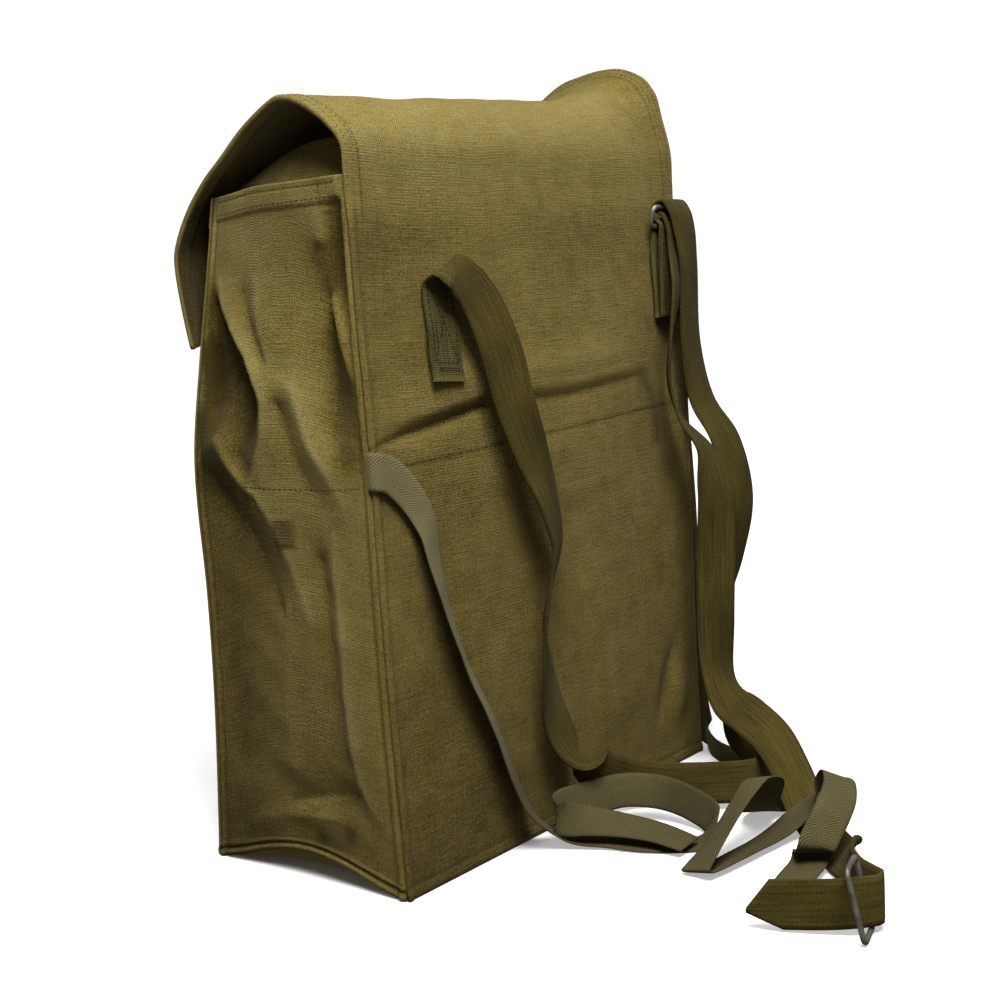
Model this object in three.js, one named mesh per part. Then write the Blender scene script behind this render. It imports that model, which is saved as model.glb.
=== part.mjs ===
// Canvas shoulder bag with a webbing strap and two cotton tapes, in millimetres with +Z up.
// The back panel, which carries the strap, faces +Y. The near end is +X, the far end is -X.
import * as THREE from "three";

// Cloth and webbing
const CLOTH = 1.6;
const GAP = 0.3;
const STRAP_WIDTH = 23;
const STRAP_THICK = 2;
const TAPE_WIDTH = 18;
const TAPE_THICK = 1;
const RIBBON_LIFT = 0.5;

// Body
const GUSSET_TOP = 340.5;
const FRONT_TOP = 338;
const BACK_TOP = 330;
const BACK_BULGE = 4.5;
const FRONT_BULGE = 3;
const GUSSET_BULGE = 2;
const ARCH_RISE = 13.5;
const ARCH_FADE_HEIGHT = 60;
const BOTTOM_TURN_UP = 18;

// Throat flap in the mouth
const THROAT_BASE = 326;
const THROAT_FRONT_Y = -26;
const THROAT_BACK_Y = 50;
const THROAT_INSET = 2.3;

// Ring on the back and loop on the strap
const RING_WIRE = 2.8;
const RING_X = -120;
const RING_WIDTH = 31;
const RING_CORNER = 3;
const RING_LOW = { y: 67.4, z: 315 };
const RING_HIGH = { y: 70.4, z: 325.5 };
const LOOP_WIRE = 2.6;
const LOOP_HEIGHT = 31.5;
const LOOP_WIDTH = 19.4;
const LOOP_CORNER = 3;
const LOOP_CENTRE = { x: 65.7, y: 265.4, z: 17.2 };
const LOOP_TURN = 15;
const LOOP_LEAN = 13;

// Grid densities
const BACK_COLUMNS = 26;
const FLAP_ROWS = 20;
const STEPS_PER_ROW = 2;

/**
 * Turns lines of numbers into row objects with named columns.
 * @param {string} columns names, separated by spaces
 * @param {number[][]} lines one line for each row
 * @returns {Object<string, number>[]}
 */
function table(columns, lines) {
  const names = columns.split(" ");
  return lines.map((line) => Object.fromEntries(names.map((name, i) => [name, line[i]])));
}

// The four seams of the body, from the base to the top
const SEAMS = table("z nearBackX nearBackY nearFrontX nearFrontY farBackX farBackY farFrontX farFrontY", [
  [0, 133.8, 66.3, 134.6, -67, -134, 66.3, -134, -67],
  [80, 133.8, 63.8, 134.2, -60.5, -135.5, 65.4, -134.5, -61],
  [140, 133.2, 62.7, 135.2, -57, -137, 65.4, -135.5, -58],
  [208, 132.2, 62, 137.5, -54.8, -138.5, 65.7, -137, -56],
  [260, 132, 60.3, 134.3, -47.5, -138.5, 64, -135.5, -49],
  [300, 131.7, 59.5, 130.5, -41.5, -138.5, 62.3, -134, -43],
  [342, 131.2, 58.8, 127, -35, -139, 61.8, -133, -37],
]);

// The flap's two side edges, from the top of the back to the hem
const FLAP = table("step nearX nearY nearZ farX farY farZ", [
  [0, 131.3, 58.9, 338, -139, 62, 339],
  [1, 132.2, 58.4, 355.4, -139, 60.9, 359],
  [2, 133.4, 51.3, 366.3, -139, 56.5, 376.6],
  [3, 134, 36.8, 376, -139, 53.8, 388.3],
  [4, 134, 24.2, 379.4, -139, 50.7, 394.4],
  [5, 134, 13.8, 376.7, -139, 44.2, 402],
  [6, 134, -4.5, 367.4, -139, 30.6, 408.5],
  [7, 134, -20.2, 356.2, -139, 16.3, 409.3],
  [8, 134, -32.5, 347, -139, 1.6, 407.8],
  [9, 134.5, -45.4, 334, -139, -13.6, 405],
  [10, 135, -54.6, 319.7, -139, -30, 396],
  [11, 135, -57.8, 307.6, -139, -45, 380],
  [12, 135, -55.7, 285.2, -139, -55, 360],
  [13, 135, -52.2, 266.7, -139, -60, 335],
]);

// How much of the far edge's shape the flap has on the way across, from near to far
const FLAP_BLEND = table("across far", [
  [0, 0],
  [0.08, 0.1],
  [0.23, 0.14],
  [0.45, 0.28],
  [0.67, 0.38],
  [0.77, 0.46],
  [0.88, 0.68],
  [1, 1],
]);

// Heights of the back panel's rows, close together over its crease
const BACK_HEIGHTS = [
  0, 12, 26, 42, 60, 80, 100, 120, 140, 160, 178, 192, 202, 209, 214, 218.5, 223, 227.5, 232, 237, 243,
  252, 264, 280, 298, 316, BACK_TOP,
];

// Folds of the back panel: height out of the cloth, width, and the line in x and z that each follows
const BACK_FOLDS = [
  { height: -4, width: 6, line: [[129, 217], [51, 229], [-17, 227.5], [-94, 232]] },
  { height: 3.5, width: 12, line: [[120, 236], [40, 243], [-95, 246]] },
  { height: 2, width: 14, line: [[100, 195], [-60, 200]] },
  { height: 2, width: 11, line: [[-16, 139], [-27, 114], [-32, 63], [-38, 27]] },
  { height: -3, width: 8, line: [[-126, 91], [-102, 59], [-82, 9]] },
  { height: 2.5, width: 10, line: [[-122, 60], [-104, 20]] },
];

// Folds of the near gusset: height, width, and the line in y and z
const GUSSET_FOLDS = [
  { height: -8.5, width: 7, line: [[55, 333], [52, 270], [50, 235], [47, 200]] },
  { height: -13, width: 16, line: [[-34, 238], [-34, 270]] },
  { height: 5, width: 8, line: [[-33, 318], [-27, 289], [-18, 272], [-7, 240], [-15, 198]] },
  { height: 5, width: 8, line: [[-38, 220], [-13, 188], [6, 172], [16, 143]] },
  { height: 4, width: 7, line: [[21, 240], [36, 197], [43, 182]] },
  { height: -5, width: 8, line: [[3, 240], [15, 200]] },
  { height: 4, width: 12, line: [[42, 164], [34.5, 95], [37, 56]] },
  { height: -5, width: 9, line: [[-10, 32], [37, 48], [56, 32]] },
];

// Folds of the far gusset, finished plainly
const FAR_GUSSET_FOLDS = [
  { height: -8, width: 22, line: [[-15, 250], [5, 150]] },
  { height: 3, width: 14, line: [[30, 200], [20, 80]] },
];

// Upper edge of the throat flap and how far it leans into the bag
const THROAT_EDGE = table("y z lean", [
  [-28, 343, 12],
  [10, 358, 18],
  [40, 361, 20],
  [50, 360, 20],
]);

// Routes: centre line, and the azimuth and elevation of the width
const STRAP_ROUTE = table("x y z azimuth elevation", [
  [81.5, 60, 243, 0, 0],
  [79.5, 60, 268, 0, 0],
  [78.9, 60, 287, 0, 0],
  [78.8, 65, 294, 15, -6],
  [78, 68.2, 295.9, 23, -20],
  [76.2, 71, 295.2, 19, -36],
  [72.5, 72.4, 292.6, 2, -41],
  [65, 74, 286, -10, -31],
  [59.5, 76.2, 276, -18, -22],
  [54.5, 80.5, 256, -24, -8],
  [50, 83.5, 231, -22, -8],
  [42, 85.5, 205.5, -8, -8],
  [30, 85.5, 178.5, 14, -8],
  [22.5, 83.5, 154, 26, -4],
  [25.5, 81, 136.5, 34, 0],
  [31, 79, 114, 39, 0],
  [30, 78.3, 87, 24, 0],
  [27, 79.3, 63, 4, 0],
  [21, 82, 48, 0, 20],
  [9, 86, 35, 0, 45],
  [-9, 88, 24, 30, 70],
  [-26, 93, 17, 70, 82],
  [-37, 107, 14.5, 90, 88],
  [-52, 138, 15.4, 140, 70],
  [-64, 145, 15, 175, 52],
  [-80, 142, 15, 205, 50],
  [-96, 130, 16.6, 215, 50],
  [-109, 113, 21, 210, 42],
  [-119, 98, 36, 200, 24],
  [-126, 86, 58, 190, 10],
  [-129.3, 85, 87, 186, 2],
  [-131, 94, 120, 172, 0],
  [-132.5, 100, 157, 162, 0],
  [-133, 93, 191, 165, 0],
  [-130.5, 80.5, 214, 174, 0],
  [-127, 76.5, 248, 184, 0],
  [-124, 79.5, 292, 188, 0],
  [-122, 79, 312, 182, 0],
  [-121, 76.8, 323, 180, 0],
  [-121, 72.4, 328.8, 180, 0],
  [-121, 67.8, 327.4, 180, 0],
  [-121, 68, 323.4, 180, 0],
  [-121, 71.4, 321.2, 180, 0],
  [-121, 74.2, 315, 182, 0],
  [-120, 75.2, 302, 186, 0],
  [-109.5, 79.8, 279.3, 200, 0],
  [-101.5, 79.6, 253.3, 212, 0],
  [-98.4, 79, 227, 216, 0],
  [-101, 83, 207, 210, 0],
  [-107.6, 94.4, 188, 190, 0],
  [-107.6, 100, 167, 150, 0],
  [-107.6, 99, 135, 140, 0],
  [-105.4, 97.6, 89, 143, 0],
  [-103, 99.5, 56, 165, 10],
  [-97, 110, 45, 186, 32],
  [-85, 128, 42, 186, 38],
  [-71, 150, 36, 168, 30],
  [-60, 166, 24.5, 150, 10],
  [-48, 182, 8, 140, 3],
  [-35, 196, 3, 136, 2],
  [-18, 212, 3.5, 130, 8],
  [0, 226, 6.5, 125, 40],
  [14, 235.5, 11, 122, 76],
  [30, 245, 13.2, 125, 88],
  [42, 254.5, 14.4, 125, 88],
  [48.5, 263.5, 15, 150, 88],
  [52.3, 269.6, 15, 180, 88],
  [57.4, 270.2, 15, 200, 88],
  [64, 264.6, 15, 195, 88],
  [70, 252.5, 13.8, 195, 88],
  [77.5, 232, 12.4, 190, 88],
]);
const STRAP_END = { slant: 4.8, point: 15, pointAt: -0.26 };

const CHAPE_ROUTE = table("x y z azimuth elevation", [
  [-115.8, 60, 263, 186, 0],
  [-117.2, 60, 290, 186, 0],
  [-119.2, 60, 309, 184, 0],
  [-120, 64.4, 315.4, 180, 0],
  [-120, 67.4, 318.6, 180, 0],
  [-120, 70.9, 315.4, 180, 0],
  [-119.4, 70.2, 309, 183, 0],
  [-118, 70, 300, 186, 0],
  [-116.5, 70.6, 277, 186, 0],
  [-115.8, 70.8, 263, 186, 0],
]);

const TAPE_NEAR_ROUTE = table("x y z azimuth elevation", [
  [133.5, 60.6, 206, 20, -88],
  [133.4, 62.8, 206, 20, -88],
  [130.8, 65, 205.6, 14, -84],
  [123.4, 65.8, 202.8, 8, -74],
  [115.7, 66.4, 196, 6, -55],
  [108.1, 66.4, 186.3, 8, -38],
  [103.6, 67, 175.8, 14, -24],
  [101.9, 67, 162.3, 22, -12],
  [99.8, 67, 147.3, 31, -4],
  [95.7, 67.5, 127.4, 37, 0],
  [87.2, 68.5, 103.5, 38, 0],
  [73.9, 71, 76.8, 36, 0],
  [60, 74.5, 42, 34, 0],
  [48, 79, 16, 30, 20],
  [36, 88, 4, 30, 8],
  [26, 105, 1, 20, 4],
  [18, 130, 1, 10, 0],
  [4, 148, 1.2, 40, 3],
  [-11, 147, 8, 120, 70],
  [-17, 130, 13, 190, 78],
  [-17, 112, 16, 215, 74],
  [-6, 98.5, 18.5, 240, 70],
  [15.7, 91.5, 19.8, 280, 66],
  [33.7, 83.5, 18.6, 300, 76],
  [42, 88, 17, 250, 86],
  [31.5, 98, 13.5, 222, 44],
  [22, 112, 10.5, 208, 24],
  [17, 131, 8, 196, 13],
  [16.5, 150, 5, 192, 6],
]);

const TAPE_FAR_ROUTE = table("x y z azimuth elevation", [
  [-140, 55, 214, 270, 0],
  [-141.4, 55, 200, 270, 0],
  [-144.5, 54.5, 175, 270, 0],
  [-146.5, 54, 145, 270, 0],
  [-147, 53, 100, 270, 0],
  [-147, 54, 45, 270, 0],
  [-147, 59, 13, 260, 0],
  [-139, 75, 1.6, 205, 0],
  [-120, 100, 1, 150, 0],
  [-98, 128, 1, 140, 0],
  [-76, 149, 1, 135, 0],
  [-61, 156, 1.4, 136, -2],
  [-47, 155.5, 3.6, 132, -2],
  [-35.5, 160, 9, 126, 0],
  [-28, 166, 17, 118, 2],
  [-22.5, 172, 26.5, 105, 6],
  [-16, 176.2, 33.5, 90, 12],
  [-8, 175, 35, 80, 18],
  [2, 173.5, 29, 72, 22],
  [16, 172, 20, 69, 24],
  [31, 170.5, 11, 72, 20],
  [40, 169.8, 6.4, 78, 14],
  [43.4, 169.7, 4.4, 82, 12],
  [40, 170.4, 2.5, 84, 11],
  [24, 173.5, 2.6, 86, 13],
  [-4, 177, 2.6, 84, 12],
  [-22, 180, 5, 74, 8],
  [-35, 187, 14, 50, 0],
  [-41, 196, 26, -5, 8],
  [-33, 207, 34.5, -48, 24],
  [-18, 216, 33.5, -52, 28],
  [-2, 220.5, 29.5, -52, 18],
  [10, 220, 21, -52, 8],
  [14.6, 218.8, 15.5, -54, 2],
  [12.8, 216.8, 12.4, -57, 0],
  [9.5, 214, 10.8, -60, 0],
  [7, 212.3, 8.8, -64, 0],
  [7.8, 212, 6.6, -67, 0],
  [13, 213.2, 5.2, -70, 0],
  [21, 213.8, 4.2, -76, 0],
  [30, 214.4, 2.8, -78, 0],
  [39, 215.5, 1, -78, 0],
]);

// Finishes
const canvas = new THREE.MeshStandardMaterial({ color: 0x6e5f32, roughness: 0.95, metalness: 0 });
const webbing = new THREE.MeshStandardMaterial({ color: 0x786932, roughness: 0.9, metalness: 0 });
const tapeCotton = new THREE.MeshStandardMaterial({ color: 0x7d7658, roughness: 0.95, metalness: 0 });
const wireSteel = new THREE.MeshStandardMaterial({ color: 0x6e695a, roughness: 0.45, metalness: 0.9 });

const { lerp, clamp, smoothstep, degToRad } = THREE.MathUtils;

/**
 * Reads one column of a table on a smooth curve through its rows.
 * @param {Object<string, number>[]} rows rows in rising order of the key
 * @param {string} key column that is known
 * @param {string} column column that is wanted
 * @param {number} at value of the key
 * @returns {number}
 */
function smooth(rows, key, column, at) {
  const last = rows.length - 1;
  const held = clamp(at, rows[0][key], rows[last][key]);
  let i = 0;
  while (i < last - 1 && rows[i + 1][key] < held) {
    i += 1;
  }
  const slope = (k) => {
    const before = rows[Math.max(k - 1, 0)];
    const after = rows[Math.min(k + 1, last)];
    return (after[column] - before[column]) / (after[key] - before[key]);
  };
  const span = rows[i + 1][key] - rows[i][key];
  const t = (held - rows[i][key]) / span;
  const ease = t * t * (3 - 2 * t);
  const bend = slope(i) * t * (1 - t) ** 2 - slope(i + 1) * t * t * (1 - t);
  return lerp(rows[i][column], rows[i + 1][column], ease) + bend * span;
}

/**
 * Height that a set of folds gives to the cloth at a point of its panel.
 * @param {{height: number, width: number, line: number[][]}[]} folds
 * @param {number} p first panel coordinate
 * @param {number} q second panel coordinate
 * @returns {number}
 */
function foldHeight(folds, p, q) {
  const here = new THREE.Vector3(p, q, 0);
  const closest = new THREE.Vector3();
  let height = 0;
  for (const fold of folds) {
    const points = fold.line.map(([a, b]) => new THREE.Vector3(a, b, 0));
    let nearest = Infinity;
    for (let i = 1; i < points.length; i += 1) {
      new THREE.Line3(points[i - 1], points[i]).closestPointToPoint(here, true, closest);
      nearest = Math.min(nearest, closest.distanceTo(here));
    }
    height += fold.height * Math.exp(-((nearest / fold.width) ** 2));
  }
  return height;
}

// Fades folds out towards the two seams of a panel
function edgeFade(across, margin) {
  return smoothstep(across, margin / 3, margin) * smoothstep(1 - across, margin / 3, margin);
}

const seam = (column, z) => smooth(SEAMS, "z", column, z);

// Outer face of the back panel
function backPoint(across, z) {
  const x = lerp(seam("nearBackX", z), seam("farBackX", z), across);
  const flat = lerp(seam("nearBackY", z), seam("farBackY", z), across);
  const fullness = smoothstep(z, 0, 60) * (1 - smoothstep(z, 250, BACK_TOP));
  const bulge = BACK_BULGE * Math.sin(Math.PI * across) ** 0.7 * fullness;
  const folds = foldHeight(BACK_FOLDS, x, z) * edgeFade(across, 0.1) * smoothstep(z, 6, 40);
  return new THREE.Vector3(x, flat + bulge + folds, z);
}

// Outer face of the flap, which goes on from the back panel
function flapPoint(across, step) {
  const at = (column) => smooth(FLAP, "step", column, step);
  const far = smooth(FLAP_BLEND, "across", "far", across);
  return new THREE.Vector3(
    lerp(at("nearX"), at("farX"), across),
    lerp(at("nearY"), at("farY"), far),
    lerp(at("nearZ"), at("farZ"), far),
  );
}

// Outer face of the front panel
function frontPoint(across, z) {
  const x = lerp(seam("nearFrontX", z), seam("farFrontX", z), across);
  const flat = lerp(seam("nearFrontY", z), seam("farFrontY", z), across);
  const fullness = smoothstep(z, 0, 60) * (1 - smoothstep(z, 200, 300));
  return new THREE.Vector3(x, flat - FRONT_BULGE * Math.sin(Math.PI * across) * fullness, z);
}

// Rise of the near gusset's lower edge, from the front seam (0) to the back seam (1)
const archRise = (across) => ARCH_RISE * Math.sin(Math.PI * across) ** 1.4;

// Outer face of the near gusset, from the front seam (0) to the back seam (1)
function nearGussetPoint(across, z) {
  const inset = CLOTH + GAP;
  const y = lerp(seam("nearFrontY", z) + inset, seam("nearBackY", z) - inset, across);
  const flat = lerp(seam("nearFrontX", z), seam("nearBackX", z), across);
  const bulge = GUSSET_BULGE * Math.sin(Math.PI * across) * smoothstep(z, 0, 40);
  const folds = foldHeight(GUSSET_FOLDS, y, z) * edgeFade(across, 0.08);
  const arched = z + archRise(across) * Math.max(0, 1 - z / ARCH_FADE_HEIGHT);
  return new THREE.Vector3(flat + bulge + folds, y, arched);
}

// Outer face of the far gusset
function farGussetPoint(across, z) {
  const inset = CLOTH + GAP;
  const y = lerp(seam("farFrontY", z) + inset, seam("farBackY", z) - inset, across);
  const flat = lerp(seam("farFrontX", z), seam("farBackX", z), across);
  const folds = foldHeight(FAR_GUSSET_FOLDS, y, z) * edgeFade(across, 0.1) * smoothstep(z, 0, 30);
  return new THREE.Vector3(flat - folds, y, z);
}

/**
 * Samples a surface on a grid of rows and columns.
 * @param {number[]} rows values of the second argument
 * @param {number} columns number of columns
 * @param {(across: number, row: number) => THREE.Vector3} surface
 * @returns {THREE.Vector3[][]}
 */
function sample(rows, columns, surface) {
  return rows.map((row) => Array.from({ length: columns }, (_, i) => surface(i / (columns - 1), row)));
}

// Evenly spaced values from low to high
function spread(low, high, count) {
  return Array.from({ length: count }, (_, i) => lerp(low, high, i / (count - 1)));
}

// Normal of a grid at one of its points, from its neighbours
function gridNormal(grid, r, c) {
  const below = grid[Math.max(r - 1, 0)][c];
  const above = grid[Math.min(r + 1, grid.length - 1)][c];
  const left = grid[r][Math.max(c - 1, 0)];
  const right = grid[r][Math.min(c + 1, grid[r].length - 1)];
  const along = new THREE.Vector3().subVectors(right, left);
  return new THREE.Vector3().subVectors(above, below).cross(along).normalize();
}

// The inner face of the flap, square to its outer face and towards the mouth
function squareInset(grid, mouth) {
  return grid.map((row, r) =>
    row.map((point, c) => {
      const normal = gridNormal(grid, r, c);
      const inwards = new THREE.Vector3(point.x, mouth.y, mouth.z).sub(point);
      return point.clone().addScaledVector(normal, Math.sign(normal.dot(inwards)) * CLOTH);
    }),
  );
}

// The inner face of a wall, straight along one axis so that its edges stay flush
function axisInset(grid, axis) {
  const steepest = 0.45;
  return grid.map((row, r) =>
    row.map((point, c) => {
      const facing = Math.max(Math.abs(gridNormal(grid, r, c).dot(axis)), steepest);
      return point.clone().addScaledVector(axis, CLOTH / facing);
    }),
  );
}

/**
 * A closed geometry from triangles, turned so that its faces point out.
 * @param {THREE.Vector3[]} points
 * @param {number[][]} faces
 * @returns {THREE.BufferGeometry}
 */
function closedGeometry(points, faces) {
  const volume = faces.reduce((sum, [a, b, c]) => {
    return sum + points[a].dot(new THREE.Vector3().crossVectors(points[b], points[c]));
  }, 0);
  const index = faces.flatMap(([a, b, c]) => (volume > 0 ? [a, b, c] : [a, c, b]));
  const geometry = new THREE.BufferGeometry().setFromPoints(points);
  geometry.setIndex(index);
  geometry.computeVertexNormals();
  return geometry;
}

// Two triangles for four points in order round a quad
const quad = (a, b, c, d) => [
  [a, b, c],
  [a, c, d],
];

/**
 * A cloth wall between an outer and an inner grid, closed round its rim.
 * @param {THREE.Vector3[][]} outer
 * @param {THREE.Vector3[][]} inner
 * @returns {THREE.BufferGeometry}
 */
function wall(outer, inner) {
  const rows = outer.length;
  const columns = outer[0].length;
  const points = [...outer.flat(), ...inner.flat()];
  const out = (r, c) => r * columns + c;
  const inn = (r, c) => (rows + r) * columns + c;
  const faces = [];
  for (let r = 1; r < rows; r += 1) {
    for (let c = 1; c < columns; c += 1) {
      faces.push(...quad(out(r - 1, c - 1), out(r - 1, c), out(r, c), out(r, c - 1)));
      faces.push(...quad(inn(r - 1, c - 1), inn(r, c - 1), inn(r, c), inn(r - 1, c)));
    }
    const last = columns - 1;
    faces.push(...quad(out(r - 1, 0), out(r, 0), inn(r, 0), inn(r - 1, 0)));
    faces.push(...quad(out(r - 1, last), inn(r - 1, last), inn(r, last), out(r, last)));
  }
  for (let c = 1; c < columns; c += 1) {
    const last = rows - 1;
    faces.push(...quad(out(0, c - 1), inn(0, c - 1), inn(0, c), out(0, c)));
    faces.push(...quad(out(last, c - 1), out(last, c), inn(last, c), inn(last, c - 1)));
  }
  return closedGeometry(points, faces);
}

// Back panel and flap
function makeBackFlap() {
  const back = sample(BACK_HEIGHTS, BACK_COLUMNS, backPoint);
  const flap = sample(spread(0, FLAP.length - 1, FLAP_ROWS), BACK_COLUMNS, flapPoint);
  const insideBack = axisInset(back, new THREE.Vector3(0, -1, 0));
  const insideFlap = squareInset(flap, new THREE.Vector3(0, 0, GUSSET_TOP));
  return wall([...back, ...flap], [...insideBack, ...insideFlap]);
}

function makeFrontPanel() {
  const outer = sample(spread(0, FRONT_TOP, 24), 12, frontPoint);
  return wall(outer, axisInset(outer, new THREE.Vector3(0, 1, 0)));
}

function makeNearGusset() {
  const topAt = (across) => lerp(FRONT_TOP, GUSSET_TOP, smoothstep(across, 0, 0.4));
  const outer = sample(spread(0, 1, 28), 18, (across, rise) => nearGussetPoint(across, rise * topAt(across)));
  return wall(outer, axisInset(outer, new THREE.Vector3(-1, 0, 0)));
}

function makeFarGusset() {
  const outer = sample(spread(0, GUSSET_TOP, 16), 9, farGussetPoint);
  return wall(outer, axisInset(outer, new THREE.Vector3(1, 0, 0)));
}

// Base cloth inside the walls, turned up at the near end to meet the gusset's arch
function makeBottomPanel() {
  const inset = CLOTH + GAP;
  const reach = [0, 2, 4.5, 8, 12.5, BOTTOM_TURN_UP, 40, 80, 130, 180, 230, 1e3];
  const outer = sample(reach, 14, (across, fromEnd) => {
    const nearX = lerp(seam("nearFrontX", 0), seam("nearBackX", 0), across) - inset;
    const x = Math.max(nearX - fromEnd, seam("farBackX", 0) + inset);
    const y = lerp(seam("nearFrontY", 0) + inset, seam("nearBackY", 0) - inset, across);
    const turn = Math.max(0, 1 - fromEnd / BOTTOM_TURN_UP) ** 2;
    return new THREE.Vector3(x, y, archRise(across) * turn);
  });
  return wall(outer, axisInset(outer, new THREE.Vector3(0, 0, 1)));
}

// Loose cloth on the inside of the near gusset, leaning into the mouth
function makeThroatFlap() {
  const outer = sample(spread(0, 1, 5), 9, (across, rise) => {
    const y = lerp(THROAT_FRONT_Y, THROAT_BACK_Y, across);
    const front = seam("nearFrontY", THROAT_BASE) + CLOTH + GAP;
    const back = seam("nearBackY", THROAT_BASE) - CLOTH - GAP;
    const base = nearGussetPoint((y - front) / (back - front), THROAT_BASE);
    const lean = smooth(THROAT_EDGE, "y", "lean", y) * rise ** 1.2;
    const z = lerp(THROAT_BASE, smooth(THROAT_EDGE, "y", "z", y), rise);
    return new THREE.Vector3(base.x - THROAT_INSET - lean, y, z);
  });
  return wall(outer, axisInset(outer, new THREE.Vector3(-1, 0, 0)));
}

// Unit vector from an azimuth and an elevation in degrees
function direction(azimuth, elevation) {
  const flat = Math.cos(degToRad(elevation));
  const turn = degToRad(azimuth);
  return new THREE.Vector3(flat * Math.cos(turn), flat * Math.sin(turn), Math.sin(degToRad(elevation)));
}

/**
 * Moves a ribbon's section off the floor and off the back panel.
 * @param {THREE.Vector3} centre moved in place
 * @param {THREE.Vector3} across unit vector along the width
 * @param {number} width
 * @param {number} thick
 */
function settle(centre, across, width, thick) {
  const lowest = GAP + (width / 2) * Math.abs(across.z) + (thick / 2) * Math.hypot(across.x, across.y);
  centre.z = Math.max(centre.z, lowest);
  const edges = [-1, 0, 1].map((side) => centre.clone().addScaledVector(across, (side * width) / 2));
  const pushes = edges.map((edge) => {
    const nearX = seam("nearBackX", edge.z);
    const from = (nearX - edge.x) / (nearX - seam("farBackX", edge.z));
    const onBack = from > 0 && from < 1 && edge.z < BACK_TOP;
    return onBack ? backPoint(from, edge.z).y + RIBBON_LIFT + thick / 2 - edge.y : 0;
  });
  centre.y += Math.max(0, ...pushes);
}

/**
 * A flat ribbon along a route. Its last end is square, or cut to a point.
 * @param {Object<string, number>[]} route
 * @param {number} width
 * @param {number} thick
 * @param {{slant: number, point: number, pointAt: number}} end length of the cut's slant and point, and
 *   where the point is across the width
 * @returns {THREE.BufferGeometry}
 */
function ribbon(route, width, thick, end = null) {
  const curve = new THREE.CatmullRomCurve3(route.map((row) => new THREE.Vector3(row.x, row.y, row.z)));
  const widths = route.map((row) => direction(row.azimuth, row.elevation));
  const steps = (route.length - 1) * STEPS_PER_ROW;
  const points = [];
  for (let k = 0; k <= steps; k += 1) {
    const at = k / STEPS_PER_ROW;
    const row = Math.min(Math.floor(at), route.length - 2);
    const centre = curve.getPoint(k / steps);
    const tangent = curve.getTangent(k / steps);
    const across = widths[row].clone().lerp(widths[row + 1], at - row);
    across.addScaledVector(tangent, -across.dot(tangent)).normalize();
    settle(centre, across, width, thick);
    const normal = new THREE.Vector3().crossVectors(tangent, across);
    const corner = (side, face, ahead) =>
      centre
        .clone()
        .addScaledVector(across, (side * width) / 2)
        .addScaledVector(normal, (face * thick) / 2)
        .addScaledVector(tangent, ahead);
    const cut = k === steps ? end : null;
    const slant = cut ? cut.slant / 2 : 0;
    points.push(corner(-1, -1, -slant), corner(1, -1, slant), corner(1, 1, slant), corner(-1, 1, -slant));
    if (cut) {
      points.push(corner(cut.pointAt, -1, cut.point), corner(cut.pointAt, 1, cut.point));
    }
  }
  const faces = [];
  for (let k = 0; k < steps; k += 1) {
    for (let i = 0; i < 4; i += 1) {
      const j = (i + 1) % 4;
      faces.push(...quad(4 * k + i, 4 * k + j, 4 * k + 4 + j, 4 * k + 4 + i));
    }
  }
  faces.push(...quad(3, 2, 1, 0));
  const [a, b, c, d, tipLow, tipHigh] = [0, 1, 2, 3, 4, 5].map((i) => 4 * steps + i);
  if (end) {
    faces.push([a, b, tipLow], [c, d, tipHigh]);
    faces.push(...quad(b, c, tipHigh, tipLow), ...quad(d, a, tipLow, tipHigh));
  } else {
    faces.push(...quad(a, b, c, d));
  }
  return closedGeometry(points, faces);
}

// A closed wire in the shape of a rounded rectangle, on two axes from its centre
class WireRectangle extends THREE.Curve {
  constructor(centre, wide, high, size, corner) {
    super();
    this.centre = centre;
    this.wide = wide;
    this.high = high;
    const a = size.width / 2 - corner;
    const b = size.height / 2 - corner;
    this.outline = new THREE.Path();
    this.outline.absarc(a, b, corner, 0, Math.PI / 2);
    this.outline.absarc(-a, b, corner, Math.PI / 2, Math.PI);
    this.outline.absarc(-a, -b, corner, Math.PI, 1.5 * Math.PI);
    this.outline.absarc(a, -b, corner, 1.5 * Math.PI, 2 * Math.PI);
    this.outline.closePath();
  }

  getPoint(t, target = new THREE.Vector3()) {
    const flat = this.outline.getPointAt(t % 1);
    return target.copy(this.centre).addScaledVector(this.wide, flat.x).addScaledVector(this.high, flat.y);
  }
}

function makeStrapRing() {
  const low = new THREE.Vector3(RING_X, RING_LOW.y, RING_LOW.z);
  const high = new THREE.Vector3(RING_X, RING_HIGH.y, RING_HIGH.z);
  const rise = new THREE.Vector3().subVectors(high, low);
  const size = { width: RING_WIDTH, height: rise.length() };
  const centre = low.add(high).multiplyScalar(0.5);
  const path = new WireRectangle(centre, new THREE.Vector3(1, 0, 0), rise.normalize(), size, RING_CORNER);
  return new THREE.TubeGeometry(path, 44, RING_WIRE / 2, 8, true);
}

function makeStrapLoop() {
  const centre = new THREE.Vector3(LOOP_CENTRE.x, LOOP_CENTRE.y, LOOP_CENTRE.z);
  const size = { width: LOOP_WIDTH, height: LOOP_HEIGHT };
  const high = direction(-90, 90 - LOOP_LEAN);
  const path = new WireRectangle(centre, direction(LOOP_TURN, 0), high, size, LOOP_CORNER);
  return new THREE.TubeGeometry(path, 48, LOOP_WIRE / 2, 8, true);
}

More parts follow.
